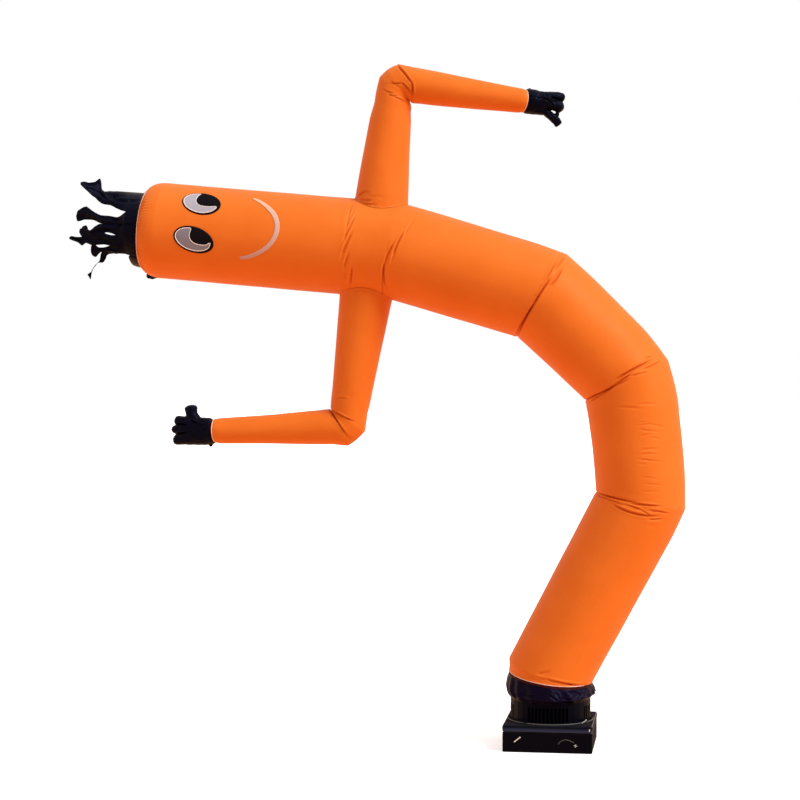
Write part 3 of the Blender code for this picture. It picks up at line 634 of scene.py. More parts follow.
def ringInset(away, bend, turn, share):
    # how far a ring is drawn in round its edge: creased inside the bend, soft outside it
    toward = share * (1 if turn < 0 else -1)
    inner = smoothStep((toward - tubeCut["creaseFrom"]) / tubeCut["creaseSpan"])
    inner *= 1.0 - tubeCut["edgeFade"] * smoothStep((toward - tubeCut["edgeFrom"]) / tubeCut["edgeSpan"])
    crease = bend["crease"] * math.exp(-(away / tubeCut["creaseWidth"]) ** tubeCut["creaseSharp"])
    if bend["crease"] > 0.0:
        crease -= tubeCut["swell"] * math.exp(-((away - tubeCut["swellAt"]) / tubeCut["swellWide"]) ** 2)
    corner = bend["corner"] * max(0.0, 1.0 - away / tubeCut["cornerReach"]) ** tubeCut["cornerSharp"]
    return crease * inner + corner * smoothStep((-toward - tubeCut["cornerFrom"]) / tubeCut["cornerSpan"])


def lappedTurns(around):
    # angles round the tube, past one full turn by the lap of its lengthwise seam at the back
    lapped = tubeCut["seamTurn"] + 360.0 + tubeCut["seamLap"]
    degrees = np.linspace(tubeCut["seamTurn"], lapped, around + 3)
    lift = tubeCut["seamLift"] * smoothStep((degrees - tubeCut["seamTurn"] - 360.0) / tubeCut["seamRise"])
    # the front faces 270 degrees, where the columns stand closer together
    degrees -= tubeCut["frontCloser"] * np.sin(np.radians(degrees - 270.0))
    return np.radians(degrees), lift


def tubeRing(angles, lift, middle, slope, halfWidth, halfDepth, inset):
    # one ring of points, and the way out at each of them
    across = inPlane(slope)
    ring = (middle + np.outer(np.cos(angles) * (halfWidth - inset + lift), across)
            + np.outer(np.sin(angles) * (halfDepth - inset + lift), (0.0, 1.0, 0.0)))
    return ring, np.outer(np.cos(angles), across) + np.outer(np.sin(angles), (0.0, 1.0, 0.0))


def tubeSurface():
    # points, outward ways and cloth places of the tube, row by row from hem to crown
    ways, slopes, turns = bendWays()
    angles, lift = lappedTurns(tubeCut["around"])
    cosines = np.cos(angles)
    rows, places = [], []
    travelled = 0.0
    for number, (start, end) in enumerate(zip(bends, bends[1:])):
        length = math.dist((start["x"], start["z"]), (end["x"], end["z"]))
        stops = rowStops(length, start, end)
        if end["name"] == "crown":
            stops.append(length)
        for stop in stops:
            share = stop / length
            middle = np.array((start["x"] + (end["x"] - start["x"]) * share, 0.0,
                               start["z"] + (end["z"] - start["z"]) * share))
            slope = slopes[number] + (slopes[number + 1] - slopes[number]) * share
            middle += inPlane(slope) * start["bow"] * math.sin(math.pi * share)
            radius = start["radius"] + (end["radius"] - start["radius"]) * share
            if number == 0:  # a rolled hem, stitched down
                roll = math.exp(-((stop - tubeCut["rollAt"]) / tubeCut["rollWide"]) ** 2)
                stitch = math.exp(-((stop - tubeCut["stitchAt"]) / tubeCut["stitchWide"]) ** 2)
                radius += tubeCut["hemRoll"] * roll - tubeCut["stitchDeep"] * stitch
            lean = math.radians(slope - (ways[number] - 90))
            inset = (ringInset(stop, start, turns[number], cosines)
                     + ringInset(length - stop, end, turns[number + 1], cosines))
            rows.append(tubeRing(angles, lift, middle, slope, radius / math.cos(lean), radius, inset))
            places.append(np.column_stack((angles * tubeCut["clothRadius"],
                                           np.full(len(angles), travelled + stop))))
        travelled += length
    return np.array([row[0] for row in rows]), np.array([row[1] for row in rows]), np.array(places)


def crownSurface():
    # the drawn-in end of the head, gathered where it meets the hair
    angles = np.linspace(0.0, math.tau, crownCut["around"], endpoint=False)
    crown, way = bends[-1], bendWays()[0][-1]
    base = np.array((crown["x"], 0.0, crown["z"]))
    steps = [(crownCut["radius"] + (crown["radius"] - crownCut["radius"]) * math.cos(turn),
              crownCut["length"] * math.sin(turn))
             for turn in np.radians(np.linspace(0.0, crownCut["lastTurn"], crownCut["steps"]))]
    last = steps[-1]
    steps += [(last[0] - narrower, last[1] - shorter) for narrower, shorter in crownCut["turnedIn"]]
    # gathers of uneven size, deepest at the front
    uneven = (0.55 + 0.45 * np.sin(5 * angles + 1.0)) * (0.75 + 0.25 * np.sin(11 * angles))
    front = 0.45 + 0.55 * smoothStep(0.5 - 0.9 * np.sin(angles))
    waves = np.cos(angles * crownCut["puckers"] + 3.0 * np.sin(4 * angles) + 1.5 * np.sin(9 * angles))
    waves *= uneven * front
    rows, places = [], []
    for number, (radius, length) in enumerate(steps):
        rim = abs(last[1] - length) + max(0.0, radius - last[0])
        inset = crownCut["puckerDepth"] * (0.4 + waves) * math.exp(-(rim / crownCut["puckerReach"]) ** 1.5)
        rows.append(tubeRing(angles, 0.0, base + inPlane(way) * length, way - 90, radius, radius,
                             inset * min(1.0, number / crownCut["firstRows"])))
        along = crownCut["clothFrom"] + number * crownCut["clothRow"]
        places.append(np.column_stack((angles * tubeCut["clothRadius"], np.full(len(angles), along))))
    return np.array([row[0] for row in rows]), np.array(places)


def addTube():
    points, outward, places = tubeSurface()
    rows, columns = points.shape[:2]
    flat, out = points.reshape(-1, 3), outward.reshape(-1, 3)
    inset = np.zeros(len(flat))
    for lines in tubeFolds.values():
        inset += pressFolds(flat, out, lines)
    around, along = places[..., 0].ravel(), places[..., 1].ravel()
    waves = tubeCut["unevenWaves"]
    uneven = tubeCut["uneven"] * ripple(around * waves[0], along * waves[1], 1.0)
    fade = smoothStep((along.max() - along) / tubeCut["evenEnd"])
    flat = flat - out * (inset + uneven * fade)[:, None]
    droop = 1.0 - smoothStep(along / tubeCut["droopReach"])
    flat[:, 2] += tubeCut["frontDroop"] * flat[:, 1] * droop
    faces = [tuple(reversed(face)) for face in gridFaces(rows, columns, False)]
    tube = addPiece("tube", flat, faces, nylonOrange, places.reshape(-1, 2))
    standFor(tube, "orange_nylon", "body_tube")
    points, places = crownSurface()
    rows, columns = points.shape[:2]
    faces = [tuple(reversed(face)) for face in gridFaces(rows, columns, True)]
    crown = addPiece("crownGathered", points.reshape(-1, 3), faces, nylonOrange, places.reshape(-1, 2))
    standFor(crown, "orange_nylon")
    return tube, crown


tube, crownPiece = addTube()
print("tube:", len(tube.data.polygons), "faces")


# sleeves

# a sleeve runs smoothly through its rings, from the tube to the wrist. A ring is its middle, the way its
# width runs, in degrees, and half its width and depth. It starts at the root, which is inside the tube
ringNames = ("name", "x", "z", "slope", "halfWidth", "halfDepth")
sleeves = {
    "sleeveUpper": [dict(zip(ringNames, row)) for row in (
        ("root", -0.5495, 1.655, -5.7, 0.0890, 0.0890),
        ("armhole", -0.5430, 1.722, -5.7, 0.0857, 0.0857),
        ("bicep", -0.5288, 1.860, -5.7, 0.0752, 0.0752),
        ("upperArm", -0.5137, 1.986, -5.7, 0.0657, 0.0657),
        ("elbowStart", -0.5068, 2.027, -14.8, 0.0595, 0.0608),
        ("elbowBack", -0.4983, 2.079, -41.4, 0.0658, 0.0568),
        ("elbowFold", -0.4871, 2.0968, -56.1, 0.0606, 0.0568),
        ("elbowFront", -0.4665, 2.1008, -70.6, 0.0657, 0.0568),
        ("elbowEnd", -0.4290, 2.0944, -79.2, 0.0592, 0.0583),
        ("forearm", -0.2640, 2.0668, -98.7, 0.0477, 0.0477),
        ("wrist", -0.1000, 2.0415, -98.7, 0.0384, 0.0384),
        ("wristTurn", -0.0885, 2.0397, -98.7, 0.0350, 0.0350),
        ("wristEnd", -0.0815, 2.0386, -98.7, 0.0295, 0.0295),
    )],
    "sleeveLower": [dict(zip(ringNames, row)) for row in (
        ("root", -0.5840, 1.485, 171.6, 0.0880, 0.0880),
        ("armhole", -0.5920, 1.430, 171.6, 0.0852, 0.0852),
        ("bicep", -0.6160, 1.270, 171.6, 0.0737, 0.0737),
        ("upperArm", -0.6390, 1.115, 171.6, 0.0637, 0.0637),
        ("elbowStart", -0.6473, 1.070, 159.0, 0.0621, 0.0598),
        ("elbowBack", -0.6514, 1.0309, 146.0, 0.0668, 0.0558),
        ("elbowFold", -0.6602, 1.0113, 131.6, 0.0590, 0.0553),
        ("elbowFront", -0.6808, 1.0050, 117.2, 0.0663, 0.0553),
        ("elbowEnd", -0.7210, 1.0057, 111.0, 0.0591, 0.0553),
        ("forearm", -0.8900, 0.9987, 92.2, 0.0472, 0.0472),
        ("wrist", -1.0740, 0.9918, 92.2, 0.0412, 0.0412),
        ("wristTurn", -1.0860, 0.9920, 92.2, 0.0376, 0.0376),
        ("wristEnd", -1.0930, 0.9922, 92.2, 0.0300, 0.0300),
    )],
}
sleeveCut = {
    "around": 120, "fineRow": 0.0025, "coarseRow": 0.007, "fineBefore": 0.04, "fineAfter": 0.02,
    "clothRadius": 0.07, "uneven": 0.0005, "unevenWaves": (40, 17),
    # the lengthwise seam at the back
    "seamTurn": 450.0, "seamLap": 8.0, "seamLift": 0.0006, "seamRise": 2.0,
    # the armhole: rows that close up towards it, a raised seam and gathers
    "rootRows": 30, "rootCloser": 1.6, "rootGap": 0.0004, "seamStand": 0.0012, "seamReach": 0.0035,
    "gathers": 23, "gatherDepth": 0.0008, "gatherReach": 0.012, "gatherFrom": 0.001,
    "wristReach": 0.03, "backFolds": 0.8, "backShift": (0.002, 0.004),
}
# how far each wrist turns to the front: metres along the arm for each metre of depth
wristTilt = {"sleeveUpper": 0.46, "sleeveLower": 0.12}
sleeveFolds = {
    "sleeveUpper": [
        ((-500, 2168), (-459, 2124), (-438, 2094), 5.0, 3.0),
        ((-440, 2103), (-435, 2077), (-440, 2051), 5.0, 3.0),
        ((-508, 2101), (-485, 2095), (-466, 2097), 3.4, 2.6),
        ((-472, 2098), (-453, 2082), (-438, 2062), 4.0, 2.6),
        ((-538, 2084), (-513, 2069), (-496, 2067), 2.4, 2.8),
        ((-518, 2066), (-497, 2056), (-481, 2058), 2.4, 2.6),
        ((-502, 2050), (-479, 2047), (-452, 2030), 1.8, 2.6),
        ((-518, 2089), (-501, 2094), (-474, 2081), 1.4, 3.0),
        ((-616, 1733), (-592, 1751), (-569, 1750), 2.4, 3.0),
        ((-607, 1729), (-581, 1726), (-556, 1727), 2.2, 3.0),
        ((-565, 1733), (-544, 1738), (-515, 1731), 1.6, 3.0),
        ((-600, 1722), (-574, 1714), (-548, 1714), 1.8, 2.6),
    ],
    "sleeveLower": [
        ((-704, 1068), (-668, 1047), (-617, 1023), 4.6, 2.6),
        ((-713, 1068), (-679, 1028), (-641, 970), 5.0, 2.8),
        ((-644, 970), (-638, 974), (-630, 978), 1.4, 2.4),
        ((-684, 1097), (-664, 1102), (-643, 1096), 2.0, 2.6),
        ((-652, 1119), (-628, 1108), (-609, 1104), 1.2, 2.8),
        ((-700, 1087), (-690, 1089), (-678, 1088), 1.2, 2.4),
        ((-708, 1060), (-703, 1048), (-697, 1036), 1.6, 2.6),
    ],
}


def armWay(rings):
    # the way along the forearm, towards the glove
    way = np.array((rings[-1]["x"] - rings[-2]["x"], 0.0, rings[-1]["z"] - rings[-2]["z"]))
    return way / np.linalg.norm(way)


def sleeveStops(reachOf):
    # where the rows lie from the bicep to the wrist's end: close together at the elbow and the wrist
    fineFrom = reachOf["elbowStart"] - sleeveCut["fineBefore"]
    fineTo = reachOf["elbowEnd"] + sleeveCut["fineAfter"]
    stops = [reachOf["bicep"]]
    while stops[-1] < reachOf["wristEnd"]:
        near = fineFrom < stops[-1] < fineTo or stops[-1] > reachOf["wrist"]
        stops.append(stops[-1] + (sleeveCut["fineRow"] if near else sleeveCut["coarseRow"]))
    stops[-1] = reachOf["wristEnd"]
    return stops


def rootStops(outer, inner, start, tubeTree):
    # how far along the sleeve each of its columns leaves the tube
    stops = []
    for near, far in zip(outer, inner):
        way = Vector(far - near)
        hit = tubeTree.ray_cast(Vector(near), way.normalized())
        stops.append(start * (1.0 - hit[3] / way.length) + sleeveCut["rootGap"])
    return np.array(stops)


def armholeStand(fromRoot, angles):
    # how far the cloth stands out near the armhole: a raised seam, then gathers
    gathers = 1 + np.cos(angles * sleeveCut["gathers"] + 2 * np.sin(2 * angles))
    fade = np.exp(-fromRoot / sleeveCut["gatherReach"]) * (fromRoot > sleeveCut["gatherFrom"])
    return (sleeveCut["seamStand"] * np.exp(-(fromRoot / sleeveCut["seamReach"]) ** 2)
            - sleeveCut["gatherDepth"] * gathers * fade)


def sleeveSurface(name, tubeTree):
    # a sleeve as a smooth run through its rings, cut to meet the tube all round
    rings = sleeves[name]
    places = np.array([(ring["x"], ring["z"]) for ring in rings])
    reach = np.concatenate(([0.0], np.cumsum(np.linalg.norm(np.diff(places, axis=0), axis=1))))
    reachOf = dict(zip([ring["name"] for ring in rings], reach))
    table = np.array([[ring[key] for key in ringNames[1:]] for ring in rings])
    seam = sleeveCut["seamTurn"]
    angles = np.radians(np.linspace(seam - 360.0, seam + sleeveCut["seamLap"], sleeveCut["around"]))
    lift = sleeveCut["seamLift"] * smoothStep((np.degrees(angles) - seam) / sleeveCut["seamRise"])

    def ringPoints(distance, columns=slice(None)):
        # the ring at that distance, and the way out at each of its points
        x, z, slope, halfWidth, halfDepth = (np.interp(distance, reach, table[:, i]) for i in range(5))
        across, turn = inPlane(slope), angles[columns]
        out = np.outer(np.cos(turn), across) + np.outer(np.sin(turn), (0.0, 1.0, 0.0))
        sideways = np.outer(np.cos(turn) * (halfWidth + lift[columns]), across)
        backwards = np.outer(np.sin(turn) * (halfDepth + lift[columns]), (0.0, 1.0, 0.0))
        return np.array((x, 0.0, z)) + sideways + backwards, out

    start = reachOf["bicep"]
    roots = rootStops(ringPoints(start)[0], ringPoints(0.0)[0], start, tubeTree)
    rows, outwards, cloth = [], [], []
    for step in range(sleeveCut["rootRows"]):
        fromRoot = (start - roots) * (step / sleeveCut["rootRows"]) ** sleeveCut["rootCloser"]
        both = [ringPoints(stop, slice(i, i + 1)) for i, stop in enumerate(roots + fromRoot)]
        ring, out = np.vstack([pair[0] for pair in both]), np.vstack([pair[1] for pair in both])
        rows.append(ring + out * armholeStand(fromRoot, angles)[:, None])
        outwards.append(out)
        cloth.append(np.column_stack((angles * sleeveCut["clothRadius"], roots + fromRoot)))
    for stop in sleeveStops(reachOf):
        ring, out = ringPoints(stop)
        turned = smoothStep((stop - reachOf["wrist"]) / sleeveCut["wristReach"] + 1.0)
        ring -= np.outer(ring[:, 1] * wristTilt[name] * turned, armWay(rings))
        rows.append(ring)
        outwards.append(out)
        cloth.append(np.column_stack((angles * sleeveCut["clothRadius"], np.full(len(angles), stop))))
    return np.array(rows), np.array(outwards), np.array(cloth)


def addSleeves():
    graph = bpy.context.evaluated_depsgraph_get()
    tubeTree = BVHTree.FromObject(tube, graph)
    nodes = {"sleeveUpper": "sleeve_upper", "sleeveLower": "sleeve_lower"}
    waves = sleeveCut["unevenWaves"]
    made = {}
    for name in sleeves:
        points, outward, cloth = sleeveSurface(name, tubeTree)
        rows, columns = points.shape[:2]
        flat, out = points.reshape(-1, 3), outward.reshape(-1, 3)
        around, along = cloth[..., 0].ravel(), cloth[..., 1].ravel()
        inset = pressFolds(flat, out, sleeveFolds[name], sleeveCut["backFolds"], sleeveCut["backShift"])
        inset += sleeveCut["uneven"] * ripple(around * waves[0], along * waves[1], len(name) * 0.3)
        flat = flat - out * inset[:, None]
        piece = addPiece(name, flat, gridFaces(rows, columns, False), nylonOrange, cloth.reshape(-1, 2))
        made[name] = standFor(piece, "orange_nylon", nodes[name])
    return made


sleevePieces = addSleeves()
print("sleeves:", {name: len(piece.data.polygons) for name, piece in sleevePieces.items()})


# gloves

# lobes of each glove, which grow together into one skin. A station is its middle (x, z), half its width and
# half its depth, all in metres
gloves = {
    "gloveLower": {
        "palm": ((-1.0800, 0.9930, 0.0270, 0.0270), (-1.0880, 0.9928, 0.0280, 0.0280),
                 (-1.0905, 0.9922, 0.0385, 0.0375), (-1.0980, 0.9905, 0.0430, 0.0375),
                 (-1.1150, 0.9900, 0.0445, 0.0345), (-1.1500, 0.9905, 0.0455, 0.0330),
                 (-1.1850, 0.9920, 0.0460, 0.0290), (-1.2020, 0.9920, 0.0380, 0.0230)),
        "thumb": ((-1.1480, 1.0060, 0.0290, 0.0240), (-1.1630, 1.0430, 0.0195, 0.0185),
                  (-1.1670, 1.0635, 0.0215, 0.0150)),
        "index": ((-1.1700, 1.0215, 0.0165, 0.0250), (-1.2080, 1.0232, 0.0170, 0.0190)),
        "middle": ((-1.1750, 0.9960, 0.0150, 0.0250), (-1.2165, 0.9960, 0.0145, 0.0205)),
        "little": ((-1.1750, 0.9640, 0.0175, 0.0250), (-1.2120, 0.9625, 0.0180, 0.0200)),
        "corner": ((-1.1040, 0.9540, 0.0100, 0.0080), (-1.1005, 0.9435, 0.0055, 0.0050)),
    },
    "gloveUpper": {
        "palm": ((-0.0950, 2.0407, 0.0270, 0.0270), (-0.0865, 2.0393, 0.0280, 0.0280),
                 (-0.0838, 2.0390, 0.0375, 0.0365), (-0.0750, 2.0385, 0.0395, 0.0370),
                 (-0.0538, 2.0360, 0.0392, 0.0340), (-0.0330, 2.0326, 0.0385, 0.0315),
                 (-0.0180, 2.0405, 0.0290, 0.0290), (0.0000, 2.0385, 0.0290, 0.0260),
                 (0.0090, 2.0390, 0.0240, 0.0200)),
        "thumb": ((-0.0180, 2.0040, 0.0125, 0.0170), (0.0035, 1.9870, 0.0135, 0.0150),
                  (0.0160, 1.9740, 0.0140, 0.0090)),
        "thumbEnd": ((0.0130, 1.9640, 0.0080, 0.0080), (0.0265, 1.9735, 0.0070, 0.0060)),
        "index": ((-0.0100, 2.0520, 0.0160, 0.0250), (0.0200, 2.0500, 0.0172, 0.0180),
                  (0.0330, 2.0495, 0.0145, 0.0120)),
        "little": ((-0.0060, 2.0290, 0.0165, 0.0250), (0.0250, 2.0200, 0.0175, 0.0190)),
        "web": ((0.0180, 2.0080, 0.0060, 0.0070), (0.0175, 1.9930, 0.0060, 0.0070)),
        "corner": ((-0.0740, 2.0680, 0.0100, 0.0090), (-0.0690, 2.0755, 0.0060, 0.0060)),
    },
}
gloveCut = {"around": 28, "rootTurns": (-80, -62, -44, -22, 0), "tipTurns": (0, 20, 38, 56, 72, 84),
            "rounding": 0.75, "voxel": 0.0016, "smoothing": 5, "smoothShare": 0.5, "turnFades": 0.06,
            # dents: how deep, waves for each metre across, from front to back and up, and a seed
            "crumples": ((0.0010, 70, 90, 150, 2.0), (0.0003, 260, 300, 380, 3.0)), "backFolds": 0.8}
# fold lines as on the tube, but with their places in metres
gloveFolds = {
    "gloveLower": [
        ((-1.216, 1.013), (-1.195, 1.0135), (-1.172, 1.011), 5.0, 2.6),
        ((-1.216, 0.983), (-1.193, 0.984), (-1.174, 0.989), 5.0, 2.6),
        ((-1.168, 1.030), (-1.150, 1.020), (-1.122, 1.015), 3.0, 2.4),
        ((-1.152, 1.018), (-1.130, 1.011), (-1.106, 1.012), 1.8, 2.2),
        ((-1.120, 0.990), (-1.116, 0.998), (-1.106, 1.002), 1.6, 2.4),
        ((-1.122, 0.984), (-1.112, 0.980), (-1.102, 0.986), 1.4, 2.4),
        ((-1.150, 0.960), (-1.130, 0.957), (-1.108, 0.962), 1.2, 2.4),
    ],
    "gloveUpper": [
        ((-0.058, 2.051), (-0.042, 2.045), (-0.024, 2.043), 1.0, 3.4),
        ((-0.039, 2.046), (-0.010, 2.038), (0.009, 2.012), 2.0, 3.0),
        ((0.038, 2.037), (0.018, 2.043), (-0.004, 2.050), 4.0, 2.6),
        ((-0.058, 2.012), (-0.038, 2.006), (-0.020, 2.008), 1.6, 2.4),
        ((-0.008, 2.004), (0.002, 1.990), (0.018, 1.976), 1.6, 2.4),
    ],
}


def lobeRings(rows, blunt):
    # rings of one soft lobe, rounded off at its tip and at its buried root. A blunt one has no round root
    rings = []
    for number, row in enumerate(rows):
        before, after = rows[max(number - 1, 0)], rows[min(number + 1, len(rows) - 1)]
        way = math.degrees(math.atan2(after[1] - before[1], after[0] - before[0]))
        rounding = (0,)
        if number == 0 and not blunt:
            rounding = gloveCut["rootTurns"]
        if number == len(rows) - 1:
            rounding = gloveCut["tipTurns"]
        for angle in rounding:
            x, z, radius, depth = row
            ahead = inPlane(way) * depth * gloveCut["rounding"] * math.sin(math.radians(angle))
            middle = np.array((x, 0.0, z)) + ahead
            size = math.cos(math.radians(angle))
            turn = np.linspace(0.0, math.tau, gloveCut["around"], endpoint=False)
            rings.append(middle + np.outer(np.cos(turn) * radius * size, inPlane(way - 90))
                         + np.outer(np.sin(turn) * depth * size, (0.0, 1.0, 0.0)))
    return np.array(rings)


def addGlove(name, node):
    # the lobes are joined and smoothed, then pressed with folds and small dents
    sleeve = name.replace("glove", "sleeve")
    points, faces = [], []
    for part, rows in gloves[name].items():
        rings = lobeRings(rows, part == "palm")
        first, count, around = len(points), len(rings), gloveCut["around"]
        points += list(rings.reshape(-1, 3))
        faces += gridFaces(count, around, True, first)
        faces.append(tuple(range(first + around - 1, first - 1, -1)))
        faces.append(tuple(range(first + (count - 1) * around, first + count * around)))
    glove = addPiece(name, points, faces, nylonBlack)
    union = glove.modifiers.new("Union", "REMESH")
    union.mode = "VOXEL"
    union.voxel_size = gloveCut["voxel"]
    union.use_smooth_shade = True
    relax = glove.modifiers.new("Relax", "SMOOTH")
    relax.factor = gloveCut["smoothShare"]
    relax.iterations = gloveCut["smoothing"]
    bakeModifiers(glove)
    mesh = glove.data
    flat, out = vertexArrays(mesh)
    lines = [tuple(tuple(value * 1000 for value in place) for place in line[:3]) + line[3:]
             for line in gloveFolds[name]]
    inset = pressFolds(flat, out, lines, gloveCut["backFolds"], (0.0, 0.0))
    for deep, across, back, up, seed in gloveCut["crumples"]:
        inset += deep * ripple(flat[:, 0] * across, flat[:, 2] * up + flat[:, 1] * back, seed)
    flat = flat - out * inset[:, None]
    # its wrist turns to the front with the sleeve's
    rings = sleeves[sleeve]
    along = (flat - (rings[-1]["x"], 0.0, rings[-1]["z"])) @ armWay(rings)
    turned = 1.0 - smoothStep(along / gloveCut["turnFades"])
    flat -= np.outer(flat[:, 1] * wristTilt[sleeve] * turned, armWay(rings))
    mesh.vertices.foreach_set("co", flat.ravel())
    mesh.update()
    layer = mesh.uv_layers.get("cloth") or mesh.uv_layers.new(name="cloth")
    corners = np.empty(len(mesh.loops), dtype=np.int32)
    mesh.loops.foreach_get("vertex_index", corners)
    layer.data.foreach_set("uv", flat[:, (0, 2)][corners].astype(np.float32).ravel())
    if not mesh.materials:
        mesh.materials.append(nylonBlack)
    return standFor(glove, "black_nylon", node)


glovePieces = [addGlove("gloveLower", "glove_lower"), addGlove("gloveUpper", "glove_upper")]
print("gloves:", [len(piece.data.polygons) for piece in glovePieces])


# hair

hairCut = {
    "radius": 0.1262, "lap": 0.012, "tube": 0.045, "columns": 17, "rows": 54, "tension": 0.75,
    "cloth": 0.0010, "weld": 0.00002, "clothWide": 0.066, "clothLong": 0.26,
    # the uncut tube is drawn in, underneath and more on top, and gathered at the crown's rim
    "uncutRows": 13, "uncutClear": 0.004, "tuck": 0.008, "tuckOver": 0.7, "tuckPower": 1.5,
    "topTuck": 0.011, "topTuckOver": 0.8, "topTuckReach": 0.014,
    "gathers": 37, "gatherDepth": 0.0012, "gatherReach": 0.012,
    # the folds and dents of a strip grow from its cut on, and are less at its edges and where it is narrow
    "folds": 0.0030, "crush": 0.0036, "growFrom": 0.010, "growOver": 0.045, "edgeShare": 0.3,
    "fullWidth": 0.02, "steady": 0.6,
}

# each strip of hair: its share of the uncut tube, in degrees from the top towards the front, then its
# stations. A station is its two edges, each as far past the crown, above the head's middle line and in
# front of it, and how far the cloth bellies out between them, all in millimetres
hairStrips = {
    "flag": ((5, 67), (
        (93, 112, 50, 75, 53, 98, 8), (120, 110, 46, 104, 64, 90, 9), (141, 108, 44, 133, 67, 84, 8),
        (148, 114, 46, 146, 75, 82, 6), (151, 132, 50, 156, 84, 84, 3), (156, 148, 54, 169, 92, 88, 0),
        (168, 137, 58, 184, 104, 90, -3), (188, 132, 62, 197, 114, 88, -3), (205, 133, 66, 209, 122, 82, 0),
        (213, 130, 70, 212, 126, 76, 0))),
    "club": ((67, 81), (
        (71, 28, 104, 68, 3, 108, 2), (99, 30, 100, 102, 1, 104, 3), (130, 30, 96, 130, 4, 98, 3),
        (151, 37, 92, 154, 12, 92, 3), (170, 47, 88, 174, 12, 86, 3), (184, 54, 86, 188, 11, 82, 2),
        (204, 44, 84, 204, 5, 80, 1), (214, 33, 82, 212, 7, 80, 0), (215, 25, 81, 215, 13, 80, 0))),
    "thumb": ((81, 100), (
        (61, 9, 110, 64, -31, 112, 1), (88, 3, 108, 88, -25, 110, 2), (108, 2, 106, 104, -24, 107, 2),
        (129, 2, 102, 122, -33, 104, 3), (149, -10, 98, 153, -42, 98, 4), (162, -21, 94, 172, -46, 92, 3),
        (170, -19, 90, 189, -44, 88, 2), (174, -11, 86, 196, -37, 84, 1), (181, -6, 84, 201, -29, 80, 0),
        (191, -10, 80, 201, -22, 78, 0))),
    "finger": ((100, 117), (
        (64, -28, 111, 62, -66, 106, 2), (84, -31, 111, 87, -65, 105, 3), (102, -29, 108, 110, -63, 104, 3),
        (125, -22, 104, 131, -66, 100, 3), (153, -30, 98, 152, -68, 96, 3), (174, -40, 94, 173, -63, 92, 2),
        (193, -45, 90, 186, -72, 88, 1), (209, -46, 86, 200, -64, 84, 1), (228, -45, 80, 218, -59, 80, 1),
        (235, -51, 76, 232, -55, 76, 0))),
    "knot": ((117, 127), (
        (62, -62, 105, 64, -88, 94, 1), (86, -63, 103, 88, -88, 90, 1), (112, -72, 98, 112, -86, 88, 1),
        (130, -72, 94, 124, -89, 86, 2), (141, -66, 93, 130, -94, 84, 2), (154, -69, 90, 136, -102, 82, 2),
        (156, -86, 86, 144, -105, 80, 1), (155, -94, 84, 150, -102, 80, 0))),
    "tail": ((127, 137), (  # it ends in a torn thread with a scrap of cloth on it
        (79, -79, 90, 77, -88, 84, 1), (101, -80, 84, 96, -91, 78, 1), (118, -85, 78, 106, -97, 72, 1),
        (126, -93, 74, 109, -105, 68, 1), (128, -106, 70, 113, -113, 66, 1),
        (131, -118, 68, 119, -120, 64, 0), (135, -121, 66, 133, -122, 66, 0),
        (146, -132, 62, 144, -134, 62, 0), (154, -145, 58, 152, -145, 58, 0),
        (158, -153, 56, 155, -153, 56, 0), (164, -158, 56, 156, -158, 56, 0),
        (170, -164, 56, 157, -165, 54, 0), (166, -169, 54, 157, -170, 54, 0),
        (160, -178, 54, 158, -177, 54, 0))),
    "stub": ((137, 215), ((30, -92, 83, 44, -103, -68, 23), (33, -95, 77, 48, -101, -62, 17))),
    "fold": ((215, 245), (  # folded back behind the head, its end hangs below it
        (52, -104, -80, 52, -60, -122, 2), (48, -108, -92, 50, -70, -136, 2),
        (30, -114, -98, 34, -84, -144, 2), (14, -122, -100, 14, -96, -146, 2),
        (12, -134, -92, -14, -104, -142, 2),
        (10, -147, -80, -34, -120, -126, 2), (7, -155, -72, -44, -142, -100, 1),
        (0, -159, -64, -44, -153, -76, 0))),
    "low": ((245, 270), (
        (106, -53, -98, 111, -29, -108, 3), (146, -54, -94, 150, -31, -102, 3),
        (185, -56, -88, 189, -33, -96, 2), (218, -56, -84, 223, -41, -88, 0))),
    "mid": ((270, 300), (
        (107, 1, -108, 107, 33, -100, 3), (146, -1, -102, 147, 30, -96, 3), (179, 12, -96, 180, 32, -92, 2),
        (209, 21, -90, 209, 39, -84, 1), (238, 25, -84, 238, 41, -80, 0))),
    "high": ((300, 330), (
        (102, 66, -92, 108, 98, -60, 4), (131, 70, -84, 136, 98, -56, 3), (158, 80, -76, 159, 99, -56, 2),
        (172, 86, -70, 171, 94, -60, 0))),
    "tuft": ((330, 365), (
        (98, 89, -50, 112, 110, -10, 4), (131, 87, -44, 137, 107, -8, 3), (157, 84, -38, 162, 103, -12, 2),
        (175, 85, -32, 174, 95, -18, 0))),
}
# lines pressed into the strips, as on the tube
hairFolds = [
    ((-1486, 1775), (-1442, 1752), (-1416, 1722), 2.6, 3.0),
    ((-1424, 1730), (-1405, 1743), (-1380, 1747), 2.2, 3.0),
    ((-1402, 1738), (-1367, 1730), (-1317, 1730), 3.4, 3.6),
    ((-1440, 1679), (-1404, 1669), (-1350, 1672), 2.6, 3.4),
    ((-1388, 1653), (-1352, 1653), (-1308, 1656), 2.6, 3.0),
    ((-1397, 1652), (-1395, 1637), (-1391, 1622), 1.6, 2.6),
    ((-1490, 1616), (-1466, 1619), (-1436, 1625), 2.2, 3.0),
]


def crownFrame():
    # the middle of the crown's rim, with the ways ahead, up and to the front there
    crown, way = bends[-1], bendWays()[0][-1]
    ahead, up = inPlane(way), inPlane(way - 90)
    seam = np.array((crown["x"], 0.0, crown["z"])) + ahead * crownCut["length"]
    return seam, ahead, up, np.array((0.0, -1.0, 0.0))


